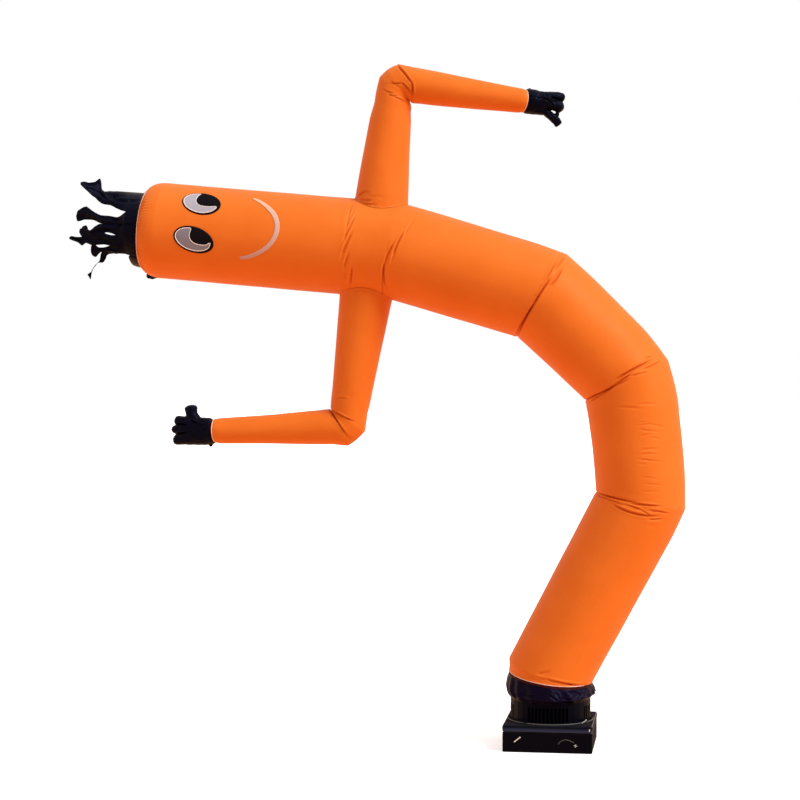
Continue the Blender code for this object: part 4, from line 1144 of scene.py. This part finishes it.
def smoothRun(knots, values, at, tension=1.0):
    # a smooth curve through values at rising knots
    values = np.asarray(values, dtype=float)
    slopes = np.gradient(values, knots, axis=0) * tension
    result = []
    for place in at:
        i = min(max(int(np.searchsorted(knots, place) - 1), 0), len(knots) - 2)
        span = knots[i + 1] - knots[i]
        t = (place - knots[i]) / span
        result.append((2 * t ** 3 - 3 * t ** 2 + 1) * values[i] + (t ** 3 - 2 * t ** 2 + t) * span * slopes[i]
                      + (3 * t ** 2 - 2 * t ** 3) * values[i + 1] + (t ** 3 - t ** 2) * span * slopes[i + 1])
    return np.array(result)


def uncutRows(angles, stations):
    # rows of the stretch of uncut tube that a strip grows from
    seam, ahead, up, front = crownFrame()
    around = np.outer(np.cos(angles), up) + np.outer(np.sin(angles), front)
    tuck = hairCut["tuck"] * smoothStep(-np.cos(angles) / hairCut["tuckOver"])
    topTuck = hairCut["topTuck"] * smoothStep(np.cos(angles) / hairCut["topTuckOver"])
    gathers = hairCut["gatherDepth"] * (1 + np.cos(angles * hairCut["gathers"] + 2 * np.sin(5 * angles)))
    end = min(hairCut["tube"], min(stations[0][0], stations[0][3]) / 1000.0 - hairCut["uncutClear"])
    rows = []
    for along in np.linspace(-hairCut["lap"], end, hairCut["uncutRows"]):
        size = hairCut["radius"] - tuck * max(0.0, along / hairCut["tube"]) ** hairCut["tuckPower"]
        size -= topTuck * smoothStep(along / hairCut["topTuckReach"])
        size -= gathers * math.exp(-(along / hairCut["gatherReach"]) ** 2)
        rows.append(seam + ahead * along + around * size[:, None])
    return rows


def stripEdges(first, last, stations):
    # the two edges of a strip, and how far it bellies out, from the cut to its free end
    edges = np.array([np.concatenate((first, last, (0.0,)))] + [np.array(row) / 1000.0 for row in stations])
    chord = np.linalg.norm(edges[0, :3] - edges[0, 3:6])
    edges[0, 6] = hairCut["radius"] - math.sqrt(hairCut["radius"] ** 2 - chord ** 2 / 4)
    middles = (edges[:, :3] + edges[:, 3:6]) / 2
    apart = np.linalg.norm(np.diff(middles, axis=0), axis=1) + 0.0005  # never quite nothing
    knots = np.concatenate(([0.0], np.cumsum(apart)))
    steps = np.linspace(0.0, knots[-1], hairCut["rows"] + 1)
    return steps, smoothRun(knots, edges, steps, hairCut["tension"])


def stripSurface(sector, stations, number):
    # one strip with the stretch of uncut tube that it grows from
    seam, ahead, up, front = crownFrame()
    axes = np.array((ahead, up, front))
    columns = np.linspace(0.0, 1.0, hairCut["columns"])
    angles = np.radians(sector[0] + (sector[1] - sector[0]) * columns)
    rows = uncutRows(angles, stations)
    steps, curve = stripEdges(axes @ (rows[-1][0] - seam), axes @ (rows[-1][-1] - seam), stations)
    tangents = np.gradient((curve[:, :3] + curve[:, 3:6]) / 2, axis=0)
    normal = np.array((0.0, math.cos(angles.mean()), math.sin(angles.mean())))
    spread = hairCut["edgeShare"] + (1 - hairCut["edgeShare"]) * 4 * columns * (1 - columns)
    for index in range(1, len(steps)):
        first, last = curve[index, :3], curve[index, 3:6]
        facing = np.cross(tangents[index], last - first)
        length = np.linalg.norm(facing)
        if length > 1e-9:
            # the way out turns little by little, so that a strip may twist but never flips over
            facing = facing / length * (1 if facing @ normal >= 0 else -1)
            normal = hairCut["steady"] * normal + (1 - hairCut["steady"]) * facing
            normal /= np.linalg.norm(normal)
        grown = smoothStep((steps[index] - hairCut["growFrom"]) / hairCut["growOver"]) * spread
        width = min(1.0, np.linalg.norm(last - first) / hairCut["fullWidth"])
        belly = curve[index, 6] * 4 * columns * (1 - columns)
        # every strip has other folds, which run along it, and other dents
        folds = hairCut["folds"] * np.sin(columns * (8 + number % 3) + number * 1.7 + 14 * steps[index])
        lengthwise = np.full(len(columns), steps[index] * 75)
        crush = hairCut["crush"] * ripple(lengthwise, columns * 4.0, number + 1.0)
        bulge = belly + (folds + crush) * grown * width
        rows.append(seam + (first + np.outer(columns, last - first) + np.outer(bulge, normal)) @ axes)
    return np.array(rows)


def addHair():
    points, faces, cloth = [], [], []
    across = np.linspace(0.0, 1.0, hairCut["columns"])
    for number, (sector, stations) in enumerate(hairStrips.values()):
        rows = stripSurface(sector, stations, number)
        strip = gridFaces(len(rows), hairCut["columns"], False, len(points))
        points += list(rows.reshape(-1, 3))
        faces += [tuple(reversed(face)) for face in strip]
        cloth += [(u, v) for v in np.linspace(0.0, hairCut["clothLong"], len(rows))
                  for u in (number + across) * hairCut["clothWide"]]
    hair = addPiece("hairStrips", points, faces, nylonBlack, cloth)
    # a strip is one cloth, so its lines are pressed into both of its sides together
    flat, out = vertexArrays(hair.data)
    moved = flat - out * pressFolds(flat, -np.abs(out), hairFolds, 0.0)[:, None]
    hair.data.vertices.foreach_set("co", moved.ravel())
    weld = hair.modifiers.new("Weld", "WELD")
    weld.merge_threshold = hairCut["weld"]
    wall = hair.modifiers.new("Cloth", "SOLIDIFY")
    wall.thickness = hairCut["cloth"]
    wall.offset = 0.0
    bakeModifiers(hair)
    return standFor(hair, "black_nylon", "hair")


hair = addHair()
print("hair:", len(hair.data.polygons), "faces")


# face

# along is from the crown's seam, arc is over the head, up from its front; both in millimetres
# rim and white are ovals: along, arc, length and width, and both have the same tilt in degrees
eyes = {
    "eyeUpper": {"node": "eye_upper", "tilt": 10.4,
                 "rim": (201.4, 101.7, 127.6, 86.0), "white": (199.0, 101.6, 114.0, 75.0),
                 "pupil": ((203, 150), (192, 139), (185, 127), (182, 112), (186, 99), (196, 90.5),
                           (211, 87), (229, 87.5), (252, 90), (272, 84), (276, 110), (262, 140),
                           (230, 152))},
    "eyeLower": {"node": "eye_lower", "tilt": 13.3,
                 "rim": (192.8, -24.2, 132.8, 81.0), "white": (190.6, -23.6, 117.5, 68.5),
                 "pupil": ((187, 20), (182, 6), (179, -8), (181, -20), (189, -30), (203, -36.5),
                           (220, -38.5), (234, -37), (245, -30), (258, -20), (258, 4), (236, 18),
                           (208, 24))},
}
smileLine = (  # along, arc and width, from the upper end to the lower
    (361, 142, 9), (379, 133, 11), (401, 118, 13), (422, 100, 14.5), (439, 82, 15.5), (450, 64, 15.5),
    (457, 41, 15.5), (457, 21, 15.5), (450, -1, 15.5), (437, -21, 15), (418, -39, 14.5),
    (396, -53, 13.5), (370, -65, 12), (343, -71, 10.5),
)
patchCut = {"lift": 0.0011, "cloth": 0.0006, "step": 0.0003, "spokes": 144, "rings": 12, "ringsCloser": 1.5,
            "stitchedDown": 0.8, "swell": 0.0004, "swellOver": 0.25, "pupilTrim": 2.0,
            "smileSteps": 110, "smileColumns": 9, "smileBlunt": 0.05}
# rows of stitching: how thick, how far off the cloth, the layer each lies on and how far inside the white,
# and how much of the pupil's outline is stitched
stitching = {"thick": 0.0012, "stand": 0.0002, "rimLayer": 1.6, "rimTrim": 2.0,
             "pupilLayer": 1.9, "pupilTrim": 3.0, "pupilShare": 0.72}


def onHead(along, arc, lift):
    # places on the head, from millimetres along it and round it
    seam, ahead, up, front = crownFrame()
    turn = np.asarray(arc) / 1000.0 / bends[-1]["radius"]
    outward = np.outer(np.sin(turn), up) + np.outer(np.cos(turn), front)
    size = bends[-1]["radius"] + np.broadcast_to(lift, turn.shape)
    return seam - np.outer(np.asarray(along) / 1000.0, ahead) + outward * size[:, None]


def onAxis(along):
    # a place on the head's middle line, that many millimetres back from the crown's seam
    seam, ahead = crownFrame()[:2]
    return seam - ahead * along / 1000.0


def oval(along, arc, length, width, tilt):
    # the outline of an oval patch as places (along, arc)
    spokes = np.linspace(0.0, math.tau, patchCut["spokes"], endpoint=False)
    across, upward = length / 2 * np.cos(spokes), width / 2 * np.sin(spokes)
    turn = math.radians(tilt)
    return np.column_stack((along + across * math.cos(turn) + upward * math.sin(turn),
                            arc + upward * math.cos(turn) - across * math.sin(turn)))


def insideOval(places, along, arc, length, width, tilt):
    # places, brought in to the oval where they lie outside it
    turn = math.radians(tilt)
    x, y = places[:, 0] - along, places[:, 1] - arc
    across, upward = x * math.cos(turn) - y * math.sin(turn), x * math.sin(turn) + y * math.cos(turn)
    size = np.maximum(1.0, np.sqrt((across / (length / 2)) ** 2 + (upward / (width / 2)) ** 2))
    across, upward = across / size, upward / size
    return np.column_stack((along + across * math.cos(turn) + upward * math.sin(turn),
                            arc + upward * math.cos(turn) - across * math.sin(turn)))


def trimmed(shape, less):
    # the same oval, cut that much shorter and narrower
    along, arc, length, width, tilt = shape
    return along, arc, length - less, width - less, tilt


def closedCurve(corners, count):
    # a smooth closed outline through the corners
    corners = np.array(corners, dtype=float)
    looped = np.vstack((corners[-2:], corners, corners[:3]))
    knots = np.arange(len(looped), dtype=float)
    return smoothRun(knots, looped, np.linspace(2.0, 2.0 + len(corners), count, endpoint=False))


def addPatch(name, outline, layer, material, slot, node):
    # a patch sewn down all round, its cloth a little raised in the middle
    lift = patchCut["lift"] + layer * (patchCut["cloth"] + patchCut["step"])
    centre = outline.mean(axis=0)
    points, cloth = [], []
    for ring in range(1, patchCut["rings"] + 1):
        share = 1 - (1 - ring / patchCut["rings"]) ** patchCut["ringsCloser"]
        edge = patchCut["cloth"] * (patchCut["stitchedDown"] if ring == patchCut["rings"] else 0.0)
        swell = patchCut["swell"] * smoothStep((1 - share) / patchCut["swellOver"])
        places = centre + (outline - centre) * share
        points += list(onHead(places[:, 0], places[:, 1], lift - edge + swell))
        cloth += [tuple(place / 1000.0) for place in places]
    middle = len(points)
    points += list(onHead(centre[:1], centre[1:], lift + patchCut["swell"]))
    cloth.append(tuple(centre / 1000.0))
    count = len(outline)
    faces = gridFaces(patchCut["rings"], count, True)
    faces += [(middle, (i + 1) % count, i) for i in range(count)]
    faces = facingOut(faces, points, onAxis(centre[0]))
    piece = addPiece(name, points, faces, material, cloth)
    wall = piece.modifiers.new("Cloth", "SOLIDIFY")
    wall.thickness = patchCut["cloth"]
    wall.offset = 1.0
    bakeModifiers(piece)
    return standFor(piece, slot, *node)


def addCord(name, path, thickness, material, slot, closed=False):
    # a round cord along a path, as a mesh; closed joins its two ends
    curve = bpy.data.curves.new(name, "CURVE")
    curve.dimensions = "3D"
    curve.bevel_depth = thickness
    curve.bevel_resolution = 2
    curve.use_fill_caps = True
    spline = curve.splines.new("POLY")
    spline.use_cyclic_u = closed
    spline.points.add(len(path) - 1)
    for point, place in zip(spline.points, path):
        point.co = (*place, 1.0)
    cord = bpy.data.objects.new(name, curve)
    curve.materials.append(material)
    bpy.context.scene.collection.objects.link(cord)
    bpy.context.view_layer.update()
    mesh = bpy.data.meshes.new_from_object(cord)
    bpy.data.objects.remove(cord)
    points, _ = vertexArrays(mesh)
    faces = [tuple(face.vertices) for face in mesh.polygons]
    return standFor(addPiece(name, points, faces, material), slot)


def addPiping(name, places, layer):
    # a row of white stitching as a thin raised cord over the head
    lift = patchCut["lift"] + layer * (patchCut["cloth"] + patchCut["step"]) + stitching["stand"]
    path = onHead(places[:, 0], places[:, 1], lift)
    return addCord(name, path, stitching["thick"], threadWhite, "white_nylon")


def addEyes():
    made = []
    for name, eye in eyes.items():
        node, rim, white = eye["node"], (*eye["rim"], eye["tilt"]), (*eye["white"], eye["tilt"])
        pupil = closedCurve(eye["pupil"], patchCut["spokes"])
        pupil = insideOval(pupil, *trimmed(rim, patchCut["pupilTrim"]))
        # the lower eye's white is the darker copy, painted with shade
        whiteCloth = nylonWhite if name == "eyeUpper" else nylonWhiteShaded
        made += [addPatch(name + "Rim", oval(*rim), 0, nylonPupil, "black_nylon", [node + "_rim"]),
                 addPatch(name + "White", oval(*white), 1, whiteCloth, "white_nylon", [node + "_white"]),
                 addPatch(name + "Pupil", pupil, 2, nylonPupil, "black_nylon", [node + "_pupil"])]
        # one row of stitches goes round the white, except where the pupil covers it
        edge = oval(*trimmed(white, stitching["rimTrim"]))
        hidden = insidePolygon(edge, pupil).tolist()
        start = max(range(len(edge)), key=lambda i: hidden[i] and not hidden[(i + 1) % len(edge)])
        inTurn = [(start + 1 + i) % len(edge) for i in range(len(edge))]
        shown = np.array([edge[i] for i in inTurn if not hidden[i]])
        made.append(addPiping(name + "RimStitch", shown, stitching["rimLayer"]))
        # the other follows the pupil's outline where that runs over the white
        part = pupil[:int(len(pupil) * stitching["pupilShare"])]
        moved = np.linalg.norm(insideOval(part, *trimmed(white, stitching["pupilTrim"])) - part, axis=1)
        made.append(addPiping(name + "PupilStitch", part[moved < 0.01], stitching["pupilLayer"]))
    return made


def insidePolygon(places, outline):
    # which places lie inside the outline
    inside = np.zeros(len(places), dtype=bool)
    for (x1, y1), (x2, y2) in zip(outline, np.roll(outline, -1, axis=0)):
        crosses = (y1 > places[:, 1]) != (y2 > places[:, 1])
        with np.errstate(divide="ignore", invalid="ignore"):
            at = x1 + (places[:, 1] - y1) * (x2 - x1) / (y2 - y1)
        inside ^= crosses & (places[:, 0] < at)
    return inside


def addSmile():
    # a strip of even steps along its line, with blunt round ends
    line = np.array(smileLine, dtype=float)
    knots = np.concatenate(([0.0], np.cumsum(np.linalg.norm(np.diff(line[:, :2], axis=0), axis=1))))
    steps = np.linspace(0.0, knots[-1], patchCut["smileSteps"] + 1)
    run = smoothRun(knots, line, steps)
    ways = np.gradient(run[:, :2], axis=0)
    ways /= np.linalg.norm(ways, axis=1)[:, None]
    points, cloth = [], []
    offsets = np.linspace(-0.5, 0.5, patchCut["smileColumns"])
    edge = patchCut["cloth"] * patchCut["stitchedDown"] * (np.abs(offsets) > 0.49)
    for (along, arc, width), way, step in zip(run, ways, steps):
        toEnd = min(1.0, step / (width / 2), (knots[-1] - step) / (width / 2))
        blunt = math.sqrt(max(patchCut["smileBlunt"], toEnd))
        places = np.array((along, arc)) + np.outer(offsets * width * blunt, (way[1], -way[0]))
        points += list(onHead(places[:, 0], places[:, 1], patchCut["lift"] - edge))
        cloth += [(offset * width / 1000.0, step / knots[-1]) for offset in offsets]
    faces = facingOut(gridFaces(len(steps), len(offsets), False), points, onAxis(400.0))
    smile = addPiece("smileStrip", points, faces, nylonPeach, cloth)
    wall = smile.modifiers.new("Cloth", "SOLIDIFY")
    wall.thickness = patchCut["cloth"]
    wall.offset = 1.0
    bakeModifiers(smile)
    return standFor(smile, "smile_nylon", "smile")


facePieces = addEyes() + [addSmile()]
print("face patches sewn on")


# edges: overlocked thread round the crown, the hem and the wrists, drawn pale in part as a painted highlight
# on each rolled edge, each with a dark red band of painted shade beside it

# rings are radii. The crown's thread is a little wavy, since it lies on gathers
edging = {"around": 360, "thread": 0.0015, "wristThread": 0.0013, "wristStand": 0.0002,
          "crownRing": 0.1290, "crownAhead": 0.0004, "crownWave": 0.0005, "crownWaves": 47,
          "hemRing": 0.1316, "hemAbove": 0.0002,
          "shadeBandWide": 0.0042, "shadeBandRows": (0.0, 0.33, 0.66, 1.0), "crownShadeBand": 0.1276,
          "hemShadeBand": 0.1329, "hemShadeBandWide": 0.0078}


def ringPath(centre, across, size, wave=0.0, tilt=(0.0, 0.0, 0.0)):
    # places round a ring; tilt moves each place by its depth
    angles = np.linspace(0.0, math.tau, edging["around"], endpoint=False)
    radius = size - wave * (1 + np.cos(angles * edging["crownWaves"] + 3 * np.sin(3 * angles)))
    ring = centre + np.outer(np.cos(angles) * radius, across)
    ring = ring + np.outer(np.sin(angles) * radius, (0.0, 1.0, 0.0))
    return ring + np.outer(ring[:, 1], tilt)


def addShadeBand(name, centre, way, across, size, tilt=(0.0, 0.0, 0.0), wide=edging["shadeBandWide"]):
    # a flat ring of painted shade, a dark red band from centre on along way
    rows = [ringPath(centre + way * share * wide, across, size, 0.0, tilt) for share in edging["shadeBandRows"]]
    points = np.vstack(rows)
    faces = facingOut(gridFaces(len(rows), edging["around"], True), points, centre)
    shadeBand = addPiece(name, points, faces, shadeBandRed)
    return standFor(shadeBand, "orange_nylon")


def addEdges():
    seam, ahead, up, _ = crownFrame()
    hem = np.array((bends[0]["x"], 0.0, bends[0]["z"]))
    across = inPlane(tubeCut["hemTilt"])
    down, droop = -inPlane(tubeCut["hemTilt"] + 90), (0.0, 0.0, tubeCut["frontDroop"])
    made = []
    for name, rings in sleeves.items():
        turn, side, way = rings[-2], name[len("sleeve"):], armWay(rings)
        middle, width = np.array((turn["x"], 0.0, turn["z"])), inPlane(turn["slope"])
        size = turn["halfWidth"]
        tilt = -way * wristTilt[name]
        path = ringPath(middle, width, size + edging["wristStand"], 0.0, tilt)
        thick = edging["wristThread"]
        made += [addCord("wristThread" + side, path, thick, threadPeachHighlight, "orange_nylon", True),
                 addShadeBand("wristShadeBand" + side, middle, way, width, size, tilt)]
    crownPath = ringPath(seam + ahead * edging["crownAhead"], up, edging["crownRing"], edging["crownWave"])
    hemPath = ringPath(hem - down * edging["hemAbove"], across, edging["hemRing"], 0.0, droop)
    return made + [
        addCord("crownThread", crownPath, edging["thread"], threadPeachHighlight, "orange_nylon", True),
        addShadeBand("crownShadeBand", seam, ahead, up, edging["crownShadeBand"]),
        addCord("hemThread", hemPath, edging["thread"], threadPeachHighlight, "orange_nylon", True),
        addShadeBand("hemShadeBand", hem, down, across, edging["hemShadeBand"], droop, edging["hemShadeBandWide"]),
    ]


edgePieces = addEdges()
print("edges overlocked")


# base cuff

cuffCut = {"around": 240, "rows": 46, "lift": 0.0085, "liftFrom": 0.170, "liftTo": 0.205,
           "gathers": 19, "lean": 50, "fineGathers": 14, "fineLean": 90, "clothRadius": 0.14,
           "backFolds": 0.9, "backShift": (0.006, 0.002)}
cuffRows = (  # height, radius, tilt of the ring, depth of its gathers, in metres and degrees
    (0.1585, 0.1290, 0.0, 0.0002), (0.1600, 0.1298, 0.0, 0.0006), (0.1625, 0.1322, 0.0, 0.0014),
    (0.1660, 0.1362, -0.6, 0.0028), (0.1715, 0.1412, -1.5, 0.0036), (0.1765, 0.1438, -2.6, 0.0036),
    (0.1815, 0.1432, -3.4, 0.0032), (0.1890, 0.1408, -4.4, 0.0030), (0.1970, 0.1382, -5.2, 0.0026),
    (0.2025, 0.1350, -6.0, 0.0018), (0.2062, 0.1324, -6.6, 0.0009), (0.2086, 0.1298, -7.0, 0.0003),
    (0.2102, 0.1280, -7.0, 0.0), (0.2220, 0.1280, -7.0, 0.0),
)
# creases in the cuff's front, as on the tube
cuffFolds = [
    ((-118, 186), (-86, 170), (-52, 168), 2.6, 2.6),
    ((-94, 192), (-60, 184), (-22, 186), 2.4, 2.8),
    ((-60, 176), (-34, 170), (-6, 172), 2.0, 2.2),
    ((-6, 192), (14, 184), (40, 168), 2.8, 2.6),
    ((22, 196), (34, 186), (38, 174), 2.2, 2.2),
    ((44, 182), (66, 176), (92, 184), 2.6, 2.4),
    ((60, 192), (84, 190), (106, 178), 2.4, 2.4),
    ((82, 172), (98, 178), (112, 188), 2.0, 2.2),
]


def addCuff():
    # black cloth bulging over the shroud and sewn inside the hem, with which it droops
    table = np.array(cuffRows)
    knots = np.concatenate(([0.0], np.cumsum(np.linalg.norm(np.diff(table[:, :2], axis=0), axis=1))))
    steps = np.linspace(0.0, knots[-1], cuffCut["rows"])
    angles = np.linspace(0.0, math.tau, cuffCut["around"], endpoint=False)
    points, cloth = [], []
    for step, (height, radius, tilt, gather) in zip(steps, smoothRun(knots, table, steps)):
        across = inPlane(tilt)
        # gathers of uneven size that lean as they rise, with finer ones between them
        waves = np.sin(angles * cuffCut["gathers"] + 3 * np.sin(2 * angles) + step * cuffCut["lean"])
        waves *= 0.6 + 0.4 * np.sin(5 * angles + 1.0)
        rise = np.full(len(angles), step * cuffCut["fineLean"])
        waves += 0.7 * ripple(angles * cuffCut["fineGathers"], rise, 4.0)
        size = radius - np.maximum(gather, 0.0) * (0.6 + waves)
        ring = np.array((0.0, 0.0, height)) + np.outer(np.cos(angles) * size, across)
        points += list(ring + np.outer(np.sin(angles) * size, (0.0, 1.0, 0.0)))
        cloth += [(angle * cuffCut["clothRadius"], step) for angle in angles]
    flat = np.array(points)
    out = np.column_stack((flat[:, 0], flat[:, 1], np.zeros(len(flat))))
    out = out / np.hypot(flat[:, 0], flat[:, 1])[:, None]
    flat -= out * pressFolds(flat, out, cuffFolds, cuffCut["backFolds"], cuffCut["backShift"])[:, None]
    raised = smoothStep((flat[:, 2] - cuffCut["liftFrom"]) / (cuffCut["liftTo"] - cuffCut["liftFrom"]))
    flat[:, 2] += tubeCut["frontDroop"] * flat[:, 1] + cuffCut["lift"] * raised
    faces = gridFaces(cuffCut["rows"], cuffCut["around"], True)
    cuff = addPiece("cuffGathered", flat, faces, nylonIndigo, cloth)
    return standFor(cuff, "black_nylon", "base_cuff")


cuff = addCuff()
print("cuff gathered")


# blower: the solids keep their shape, with finishes and small fittings added

for node, material in (("blower_tray", enamelBlack), ("blower_lid", enamelLid), ("fan_shroud", mouldedAbs)):
    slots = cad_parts[node].data.materials
    slots.clear()
    slots.append(material)


# hex bolt heads on washers, on the shroud's foot. Washer, taper, head and edge are shares of their size
boltRing = {"radius": 0.1345, "angles": (-31.5, 58.5, 148.5, 238.5), "across": 0.011, "height": 0.005,
            "footHigh": 0.0052, "washer": 0.75, "washerTop": 0.72, "washerHigh": 0.25,
            "headTaper": 0.94, "headAt": 0.62, "edge": 0.05}
fanWheel = {"blades": 44, "inner": 0.088, "outer": 0.110, "low": 0.0875, "high": 0.156, "pitch": 38.0,
            "thickness": 0.0012, "discHigh": 0.0014, "discBelow": 0.0008,
            "motorRadius": 0.052, "motorTop": 0.148, "motorTaper": 0.94}
# places on the front are x and z. The clip's boxes and the gasket stand over the lid's top
fittings = {
    "toggle": {"ends": ((-0.1033, 0.0322), (-0.0830, 0.0484)), "wide": 0.0034, "rim": 0.0022,
               "rimDeep": 0.00192, "leverDeep": 0.0048, "rimEdge": 0.0006, "leverEdge": 0.0007},
    "arch": {"line": ((0.0340, 0.0279), (0.0400, 0.0355), (0.0500, 0.0412), (0.0604, 0.0427),
                      (0.0720, 0.0400), (0.0837, 0.0339)), "wire": 0.0008, "stand": 0.00048, "steps": 40},
    "cross": {"at": (0.0884, 0.0247), "size": (0.0110, 0.0036, 0.00143), "turns": (8.0, 98.0),
              "edge": 0.0004},
    "latch": {"at": (0.1317, 0.0742), "size": (0.0030, 0.0024, 0.0078), "turn": 12.0, "edge": 0.0006},
    "clip": {"boxes": (((0.1120, -0.0840, 0.0058), (0.0180, 0.0060, 0.0030), -38.0),
                       ((0.1040, -0.0830, 0.0010), (0.0060, 0.0060, 0.0018), 0.0)), "edge": 0.0003},
    "gasket": {"radius": 0.1352, "wire": 0.0015, "above": 0.0014, "steps": 128},
}


def addBolt(name, place):
    bm = bmesh.new()
    across, height = boltRing["across"], boltRing["height"]
    bmesh.ops.create_cone(bm, cap_ends=True, segments=24, radius1=across * boltRing["washer"],
                          radius2=across * boltRing["washerTop"], depth=height * boltRing["washerHigh"])
    head = bmesh.ops.create_cone(bm, cap_ends=True, segments=6, radius1=across / 2,
                                 radius2=across / 2 * boltRing["headTaper"], depth=height)["verts"]
    bmesh.ops.translate(bm, vec=(0, 0, height * boltRing["headAt"]), verts=head)
    mesh = bpy.data.meshes.new(name)
    bm.to_mesh(mesh)
    bm.free()
    mesh.materials.append(mouldedAbs)
    bolt = bpy.data.objects.new(name, mesh)
    bolt.location = place
    bpy.context.scene.collection.objects.link(bolt)
    bevel = bolt.modifiers.new("Edge", "BEVEL")
    bevel.width = across * boltRing["edge"]
    bevel.segments = 2
    return standFor(bakeModifiers(bolt), "black_paint")


def addSolid(name, bm, material, edge=0.0):
    # a hard fitting, its edges rounded by that much
    mesh = bpy.data.meshes.new(name)
    bm.to_mesh(mesh)
    bm.free()
    mesh.materials.append(material)
    piece = bpy.data.objects.new(name, mesh)
    bpy.context.scene.collection.objects.link(piece)
    if edge:
        bevel = piece.modifiers.new("Edge", "BEVEL")
        bevel.width = edge
        bevel.segments = 2
        bakeModifiers(piece)
    return standFor(piece, "black_paint")


def addBox(bm, middle, size, turn=0.0, axis="Y"):
    # a box of that size, turned about the axis and moved to its middle
    corners = bmesh.ops.create_cube(bm, size=1.0)["verts"]
    place = Matrix.Translation(middle) @ Matrix.Rotation(math.radians(turn), 4, axis)
    place = place @ Matrix.Diagonal((*size, 1.0))
    bmesh.ops.transform(bm, matrix=place, verts=corners)


def addFoot():
    # the bolts, a bent zinc clip at the front right and a rubber gasket under the shroud
    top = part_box("blower_lid")[1].z
    for number, angle in enumerate(boltRing["angles"]):
        turn, radius = math.radians(angle), boltRing["radius"]
        place = (radius * math.cos(turn), radius * math.sin(turn), top + boltRing["footHigh"])
        addBolt("shroudBolt%d" % (number + 1), place)
    clip = bmesh.new()
    for (x, y, above), size, turn in fittings["clip"]["boxes"]:
        addBox(clip, (x, y, top + above), size, turn)
    addSolid("shroudClip", clip, zincSteelGlint, fittings["clip"]["edge"])
    # the gasket's pale grey ring stands in part for the highlight along the shroud's foot: painted highlight
    gasket = fittings["gasket"]
    angles = np.linspace(0.0, math.tau, gasket["steps"], endpoint=False)
    path = [(gasket["radius"] * math.cos(a), gasket["radius"] * math.sin(a), top + gasket["above"])
            for a in angles]
    addCord("footGasket", path, gasket["wire"], rubberGreyHighlight, "black_paint", True)


def addWheel():
    # the fan wheel and its motor, dark shapes behind the slots
    wheel = bmesh.new()
    inner, outer, low, top = (fanWheel[key] for key in ("inner", "outer", "low", "high"))
    middle, high = (inner + outer) / 2, top - low
    for number in range(fanWheel["blades"]):
        turn = 360.0 * number / fanWheel["blades"]
        around = math.radians(turn)
        place = (middle * math.cos(around), middle * math.sin(around), low + high / 2)
        addBox(wheel, place, (outer - inner, fanWheel["thickness"], high), turn + fanWheel["pitch"], "Z")
    for height in (low - fanWheel["discBelow"], top):
        disc = bmesh.ops.create_cone(wheel, cap_ends=True, segments=96, radius1=outer, radius2=outer,
                                     depth=fanWheel["discHigh"])["verts"]
        bmesh.ops.translate(wheel, vec=(0, 0, height), verts=disc)
    addSolid("fanWheel", wheel, mouldedAbs)
    motor = bmesh.new()
    radius, motorTop = fanWheel["motorRadius"], fanWheel["motorTop"]
    can = bmesh.ops.create_cone(motor, cap_ends=True, segments=64, radius1=radius,
                                radius2=radius * fanWheel["motorTaper"], depth=motorTop - low)["verts"]
    bmesh.ops.translate(motor, vec=(0, 0, (motorTop + low) / 2), verts=can)
    addSolid("fanMotor", motor, enamelBlack)


def addFront():
    # the toggle in its rim, the arch handle, the cross knob and the lid's latch
    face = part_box("blower_tray")[0].y
    toggle = fittings["toggle"]
    (x1, z1), (x2, z2) = toggle["ends"]
    turn, long = -math.degrees(math.atan2(z2 - z1, x2 - x1)), math.dist((x1, z1), (x2, z2))
    middle, border = ((x1 + x2) / 2, face, (z1 + z2) / 2), 2 * toggle["rim"]
    surround = bmesh.new()
    addBox(surround, middle, (long + border, toggle["rimDeep"], toggle["wide"] + border), turn)
    addSolid("toggleRim", surround, mouldedAbs, toggle["rimEdge"])
    lever = bmesh.new()
    addBox(lever, middle, (long, toggle["leverDeep"], toggle["wide"]), turn)
    addSolid("toggleLever", lever, zincSteelGlint, toggle["leverEdge"])
    arch = fittings["arch"]
    line = np.array(arch["line"])
    run = smoothRun(np.arange(len(line), dtype=float), line, np.linspace(0.0, len(line) - 1.0, arch["steps"]))
    addCord("archHandle", [(x, face - arch["stand"], z) for x, z in run], arch["wire"], rubberGreyHighlight,
            "black_paint")
    cross, knob = fittings["cross"], bmesh.new()
    for turn in cross["turns"]:
        addBox(knob, (cross["at"][0], face, cross["at"][1]), cross["size"], turn)
    addSolid("crossKnob", knob, zincSteelGlint, cross["edge"])
    latch, bar = fittings["latch"], bmesh.new()
    addBox(bar, (latch["at"][0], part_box("blower_lid")[0].y, latch["at"][1]), latch["size"], latch["turn"])
    addSolid("lidLatch", bar, zincSteelGlint, latch["edge"])


addFoot()
addWheel()
addFront()
print("blower finished")


# final update of the view layer

bpy.context.view_layer.update()
